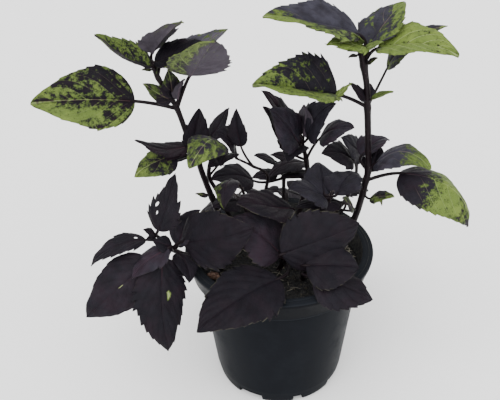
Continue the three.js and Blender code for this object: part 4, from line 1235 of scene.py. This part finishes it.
def make_soil():
    rng = np.random.default_rng(SOIL_SEED)
    form = Form()
    edge_height = SOIL_HEIGHT - SOIL_EDGE_DROP
    up_collar = (edge_height - NECK_HEIGHT) / COLLAR_HEIGHT
    edge_radius = NECK_RADIUS - WALL + (LIP_RADIUS - NECK_RADIUS + WALL) * up_collar - GAP
    points = soil_points(rng, edge_radius, edge_height)
    rings = (len(points) - 2) // SOIL_SIDES
    form.add(points, [(faces, PEAT) for faces in closed_faces(rings, SOIL_SIDES)])

    def spot(reach=0.96):
        radius = edge_radius * reach * math.sqrt(rng.uniform())
        heading = rng.uniform(0, FULL_TURN)
        return radius * math.cos(heading), radius * math.sin(heading)

    for _ in range(CRUMBS):
        crumb = spot()
        size = rng.uniform(*CRUMB_SIZES) ** 1.5 * 0.8
        add_lump(form, rng, *crumb, size, rng.choice([PEAT, PEAT, DARK_CRUMB, BROWN_CRUMB]), 0.25)
    for x, y, size in PERLITE:
        add_lump(form, rng, x, y, size, WHITE_BIT, 0.35)
    for _ in range(SMALL_PERLITE):
        add_lump(form, rng, *spot(), rng.uniform(*SMALL_PERLITE_SIZES), WHITE_BIT, 0.3)
    fibre_spots = [spot(0.9) for _ in range(FIBRES)]
    for x, y, reach, count in FIBRE_TANGLES:
        fibre_spots += [(x + rng.normal(0, reach), y + rng.normal(0, reach)) for _ in range(count)]
    for x, y in fibre_spots:
        if math.hypot(x, y) <= edge_radius * 0.95:
            add_fibre(form, rng, x, y)
    materials = [
        soil_material(),
        grainy_material("dark crumb", (18, 18, 19), (42, 41, 41), 0.8, 0.9, 0.1),
        grainy_material("brown crumb", (36, 33, 31), (72, 68, 62), 0.8, 0.85, 0.1),
        grainy_material("perlite", (150, 147, 140), (196, 193, 187), 1.5, 0.8),
        grainy_material("peat fibre", (104, 100, 90), (158, 152, 136), 0.5, 0.75),
    ]
    form.make("soil_bed", "potting_soil", materials)


def make_chip():
    """A flat six-sided chip with rough sides, tilted on the soil."""
    rng = np.random.default_rng(CHIP_SEED)
    corners = np.array([*CHIP_CORNERS, CHIP_CORNERS[0]]) * (CHIP_LENGTH / 2, CHIP_WIDTH / 2)
    t = np.arange(CHIP_SIDES) * len(CHIP_CORNERS) / CHIP_SIDES
    ring = np.stack([np.interp(t, range(len(corners)), along) for along in corners.T], -1)
    points = []
    for height, grow in CHIP_LAYERS:
        rough = grow > 0.5
        layer = ring * max(grow, 0.02) * (1 + 0.03 * rng.normal(size=(CHIP_SIDES, 1)) * rough)
        z = height * CHIP_HEIGHT / 2 + 0.08 * rng.normal(size=CHIP_SIDES) * rough
        points.append(np.column_stack([layer, z]))
    tilt = Matrix.Rotation(CHIP_TURN, 3, "Z") @ Matrix.Rotation(CHIP_TILT, 3, "Y")
    form = Form()
    form.add(np.concatenate(points) @ np.array(tilt).T + CHIP_PLACE,
             [(grid_faces(len(CHIP_LAYERS), CHIP_SIDES, around=True), 0)])
    form.make("bark_chip_piece", "bark_chip", [bark_material()])


# Floor, light and camera

def make_floor():
    s = Shader("pale floor", roughness=0.85, specular=0.2)
    s.finish(s.mix(s.noise(s.node("ShaderNodeTexCoord", (), "Object"), 3.0), *FLOOR_WHITES))
    corners = np.array([(-1, -1, 0), (1, -1, 0), (1, 1, 0), (-1, 1, 0)]) * FLOOR_REACH
    floor = link_object("floor", plain_mesh("floor", corners, [(0, 1, 2, 3)]))
    floor.data.materials.append(s.material)


def soft_sun(name, heading, height, spread, strength):
    """A wide even light from a heading (0 from the front, 90 from the right) and a height, in degrees."""
    light = bpy.data.lights.new(name, "SUN")
    light.energy = strength
    light.angle = math.radians(spread)
    lamp = link_object(name, light)
    turn, lift = math.radians(heading), math.radians(height)
    out = Vector((math.sin(turn) * math.cos(lift), -math.cos(turn) * math.cos(lift), math.sin(lift)))
    lamp.location = out
    lamp.rotation_mode = "QUATERNION"
    lamp.rotation_quaternion = out.to_track_quat("Z", "Y")


def make_light():
    world = bpy.data.worlds.new("soft studio")
    bpy.context.scene.world = world
    world.use_nodes = True
    background = world.node_tree.nodes["Background"]
    background.inputs["Color"].default_value = (1.0, 1.0, 1.0, 1.0)
    background.inputs["Strength"].default_value = WORLD_STRENGTH
    for row in SUNS:
        soft_sun(*row)


def make_camera():
    camera = link_object("camera", bpy.data.cameras.new("camera"))
    camera.data.lens = CAMERA_LENS
    camera.data.sensor_width = SENSOR_WIDTH
    camera.data.clip_start = NEAREST_SEEN * MM
    camera.location = [value * MM for value in CAMERA_PLACE]
    look = Vector(CAMERA_AIM) - Vector(CAMERA_PLACE)
    camera.rotation_mode = "QUATERNION"
    camera.rotation_quaternion = look.to_track_quat("-Z", "Y") @ Quaternion((0, 0, 1), CAMERA_ROLL)
    bpy.context.scene.camera = camera


shoot_materials = [LeafShader("leaf skin", under=False).painted(),
                   LeafShader("leaf underside", under=True).painted(), stem_material(), hair_material()]
make_pot()
make_soil()
make_chip()
for number, shoot_name in enumerate(ROUTES):
    make_shoot(shoot_name, SEED + number, shoot_materials)
make_floor()
make_light()
make_camera()
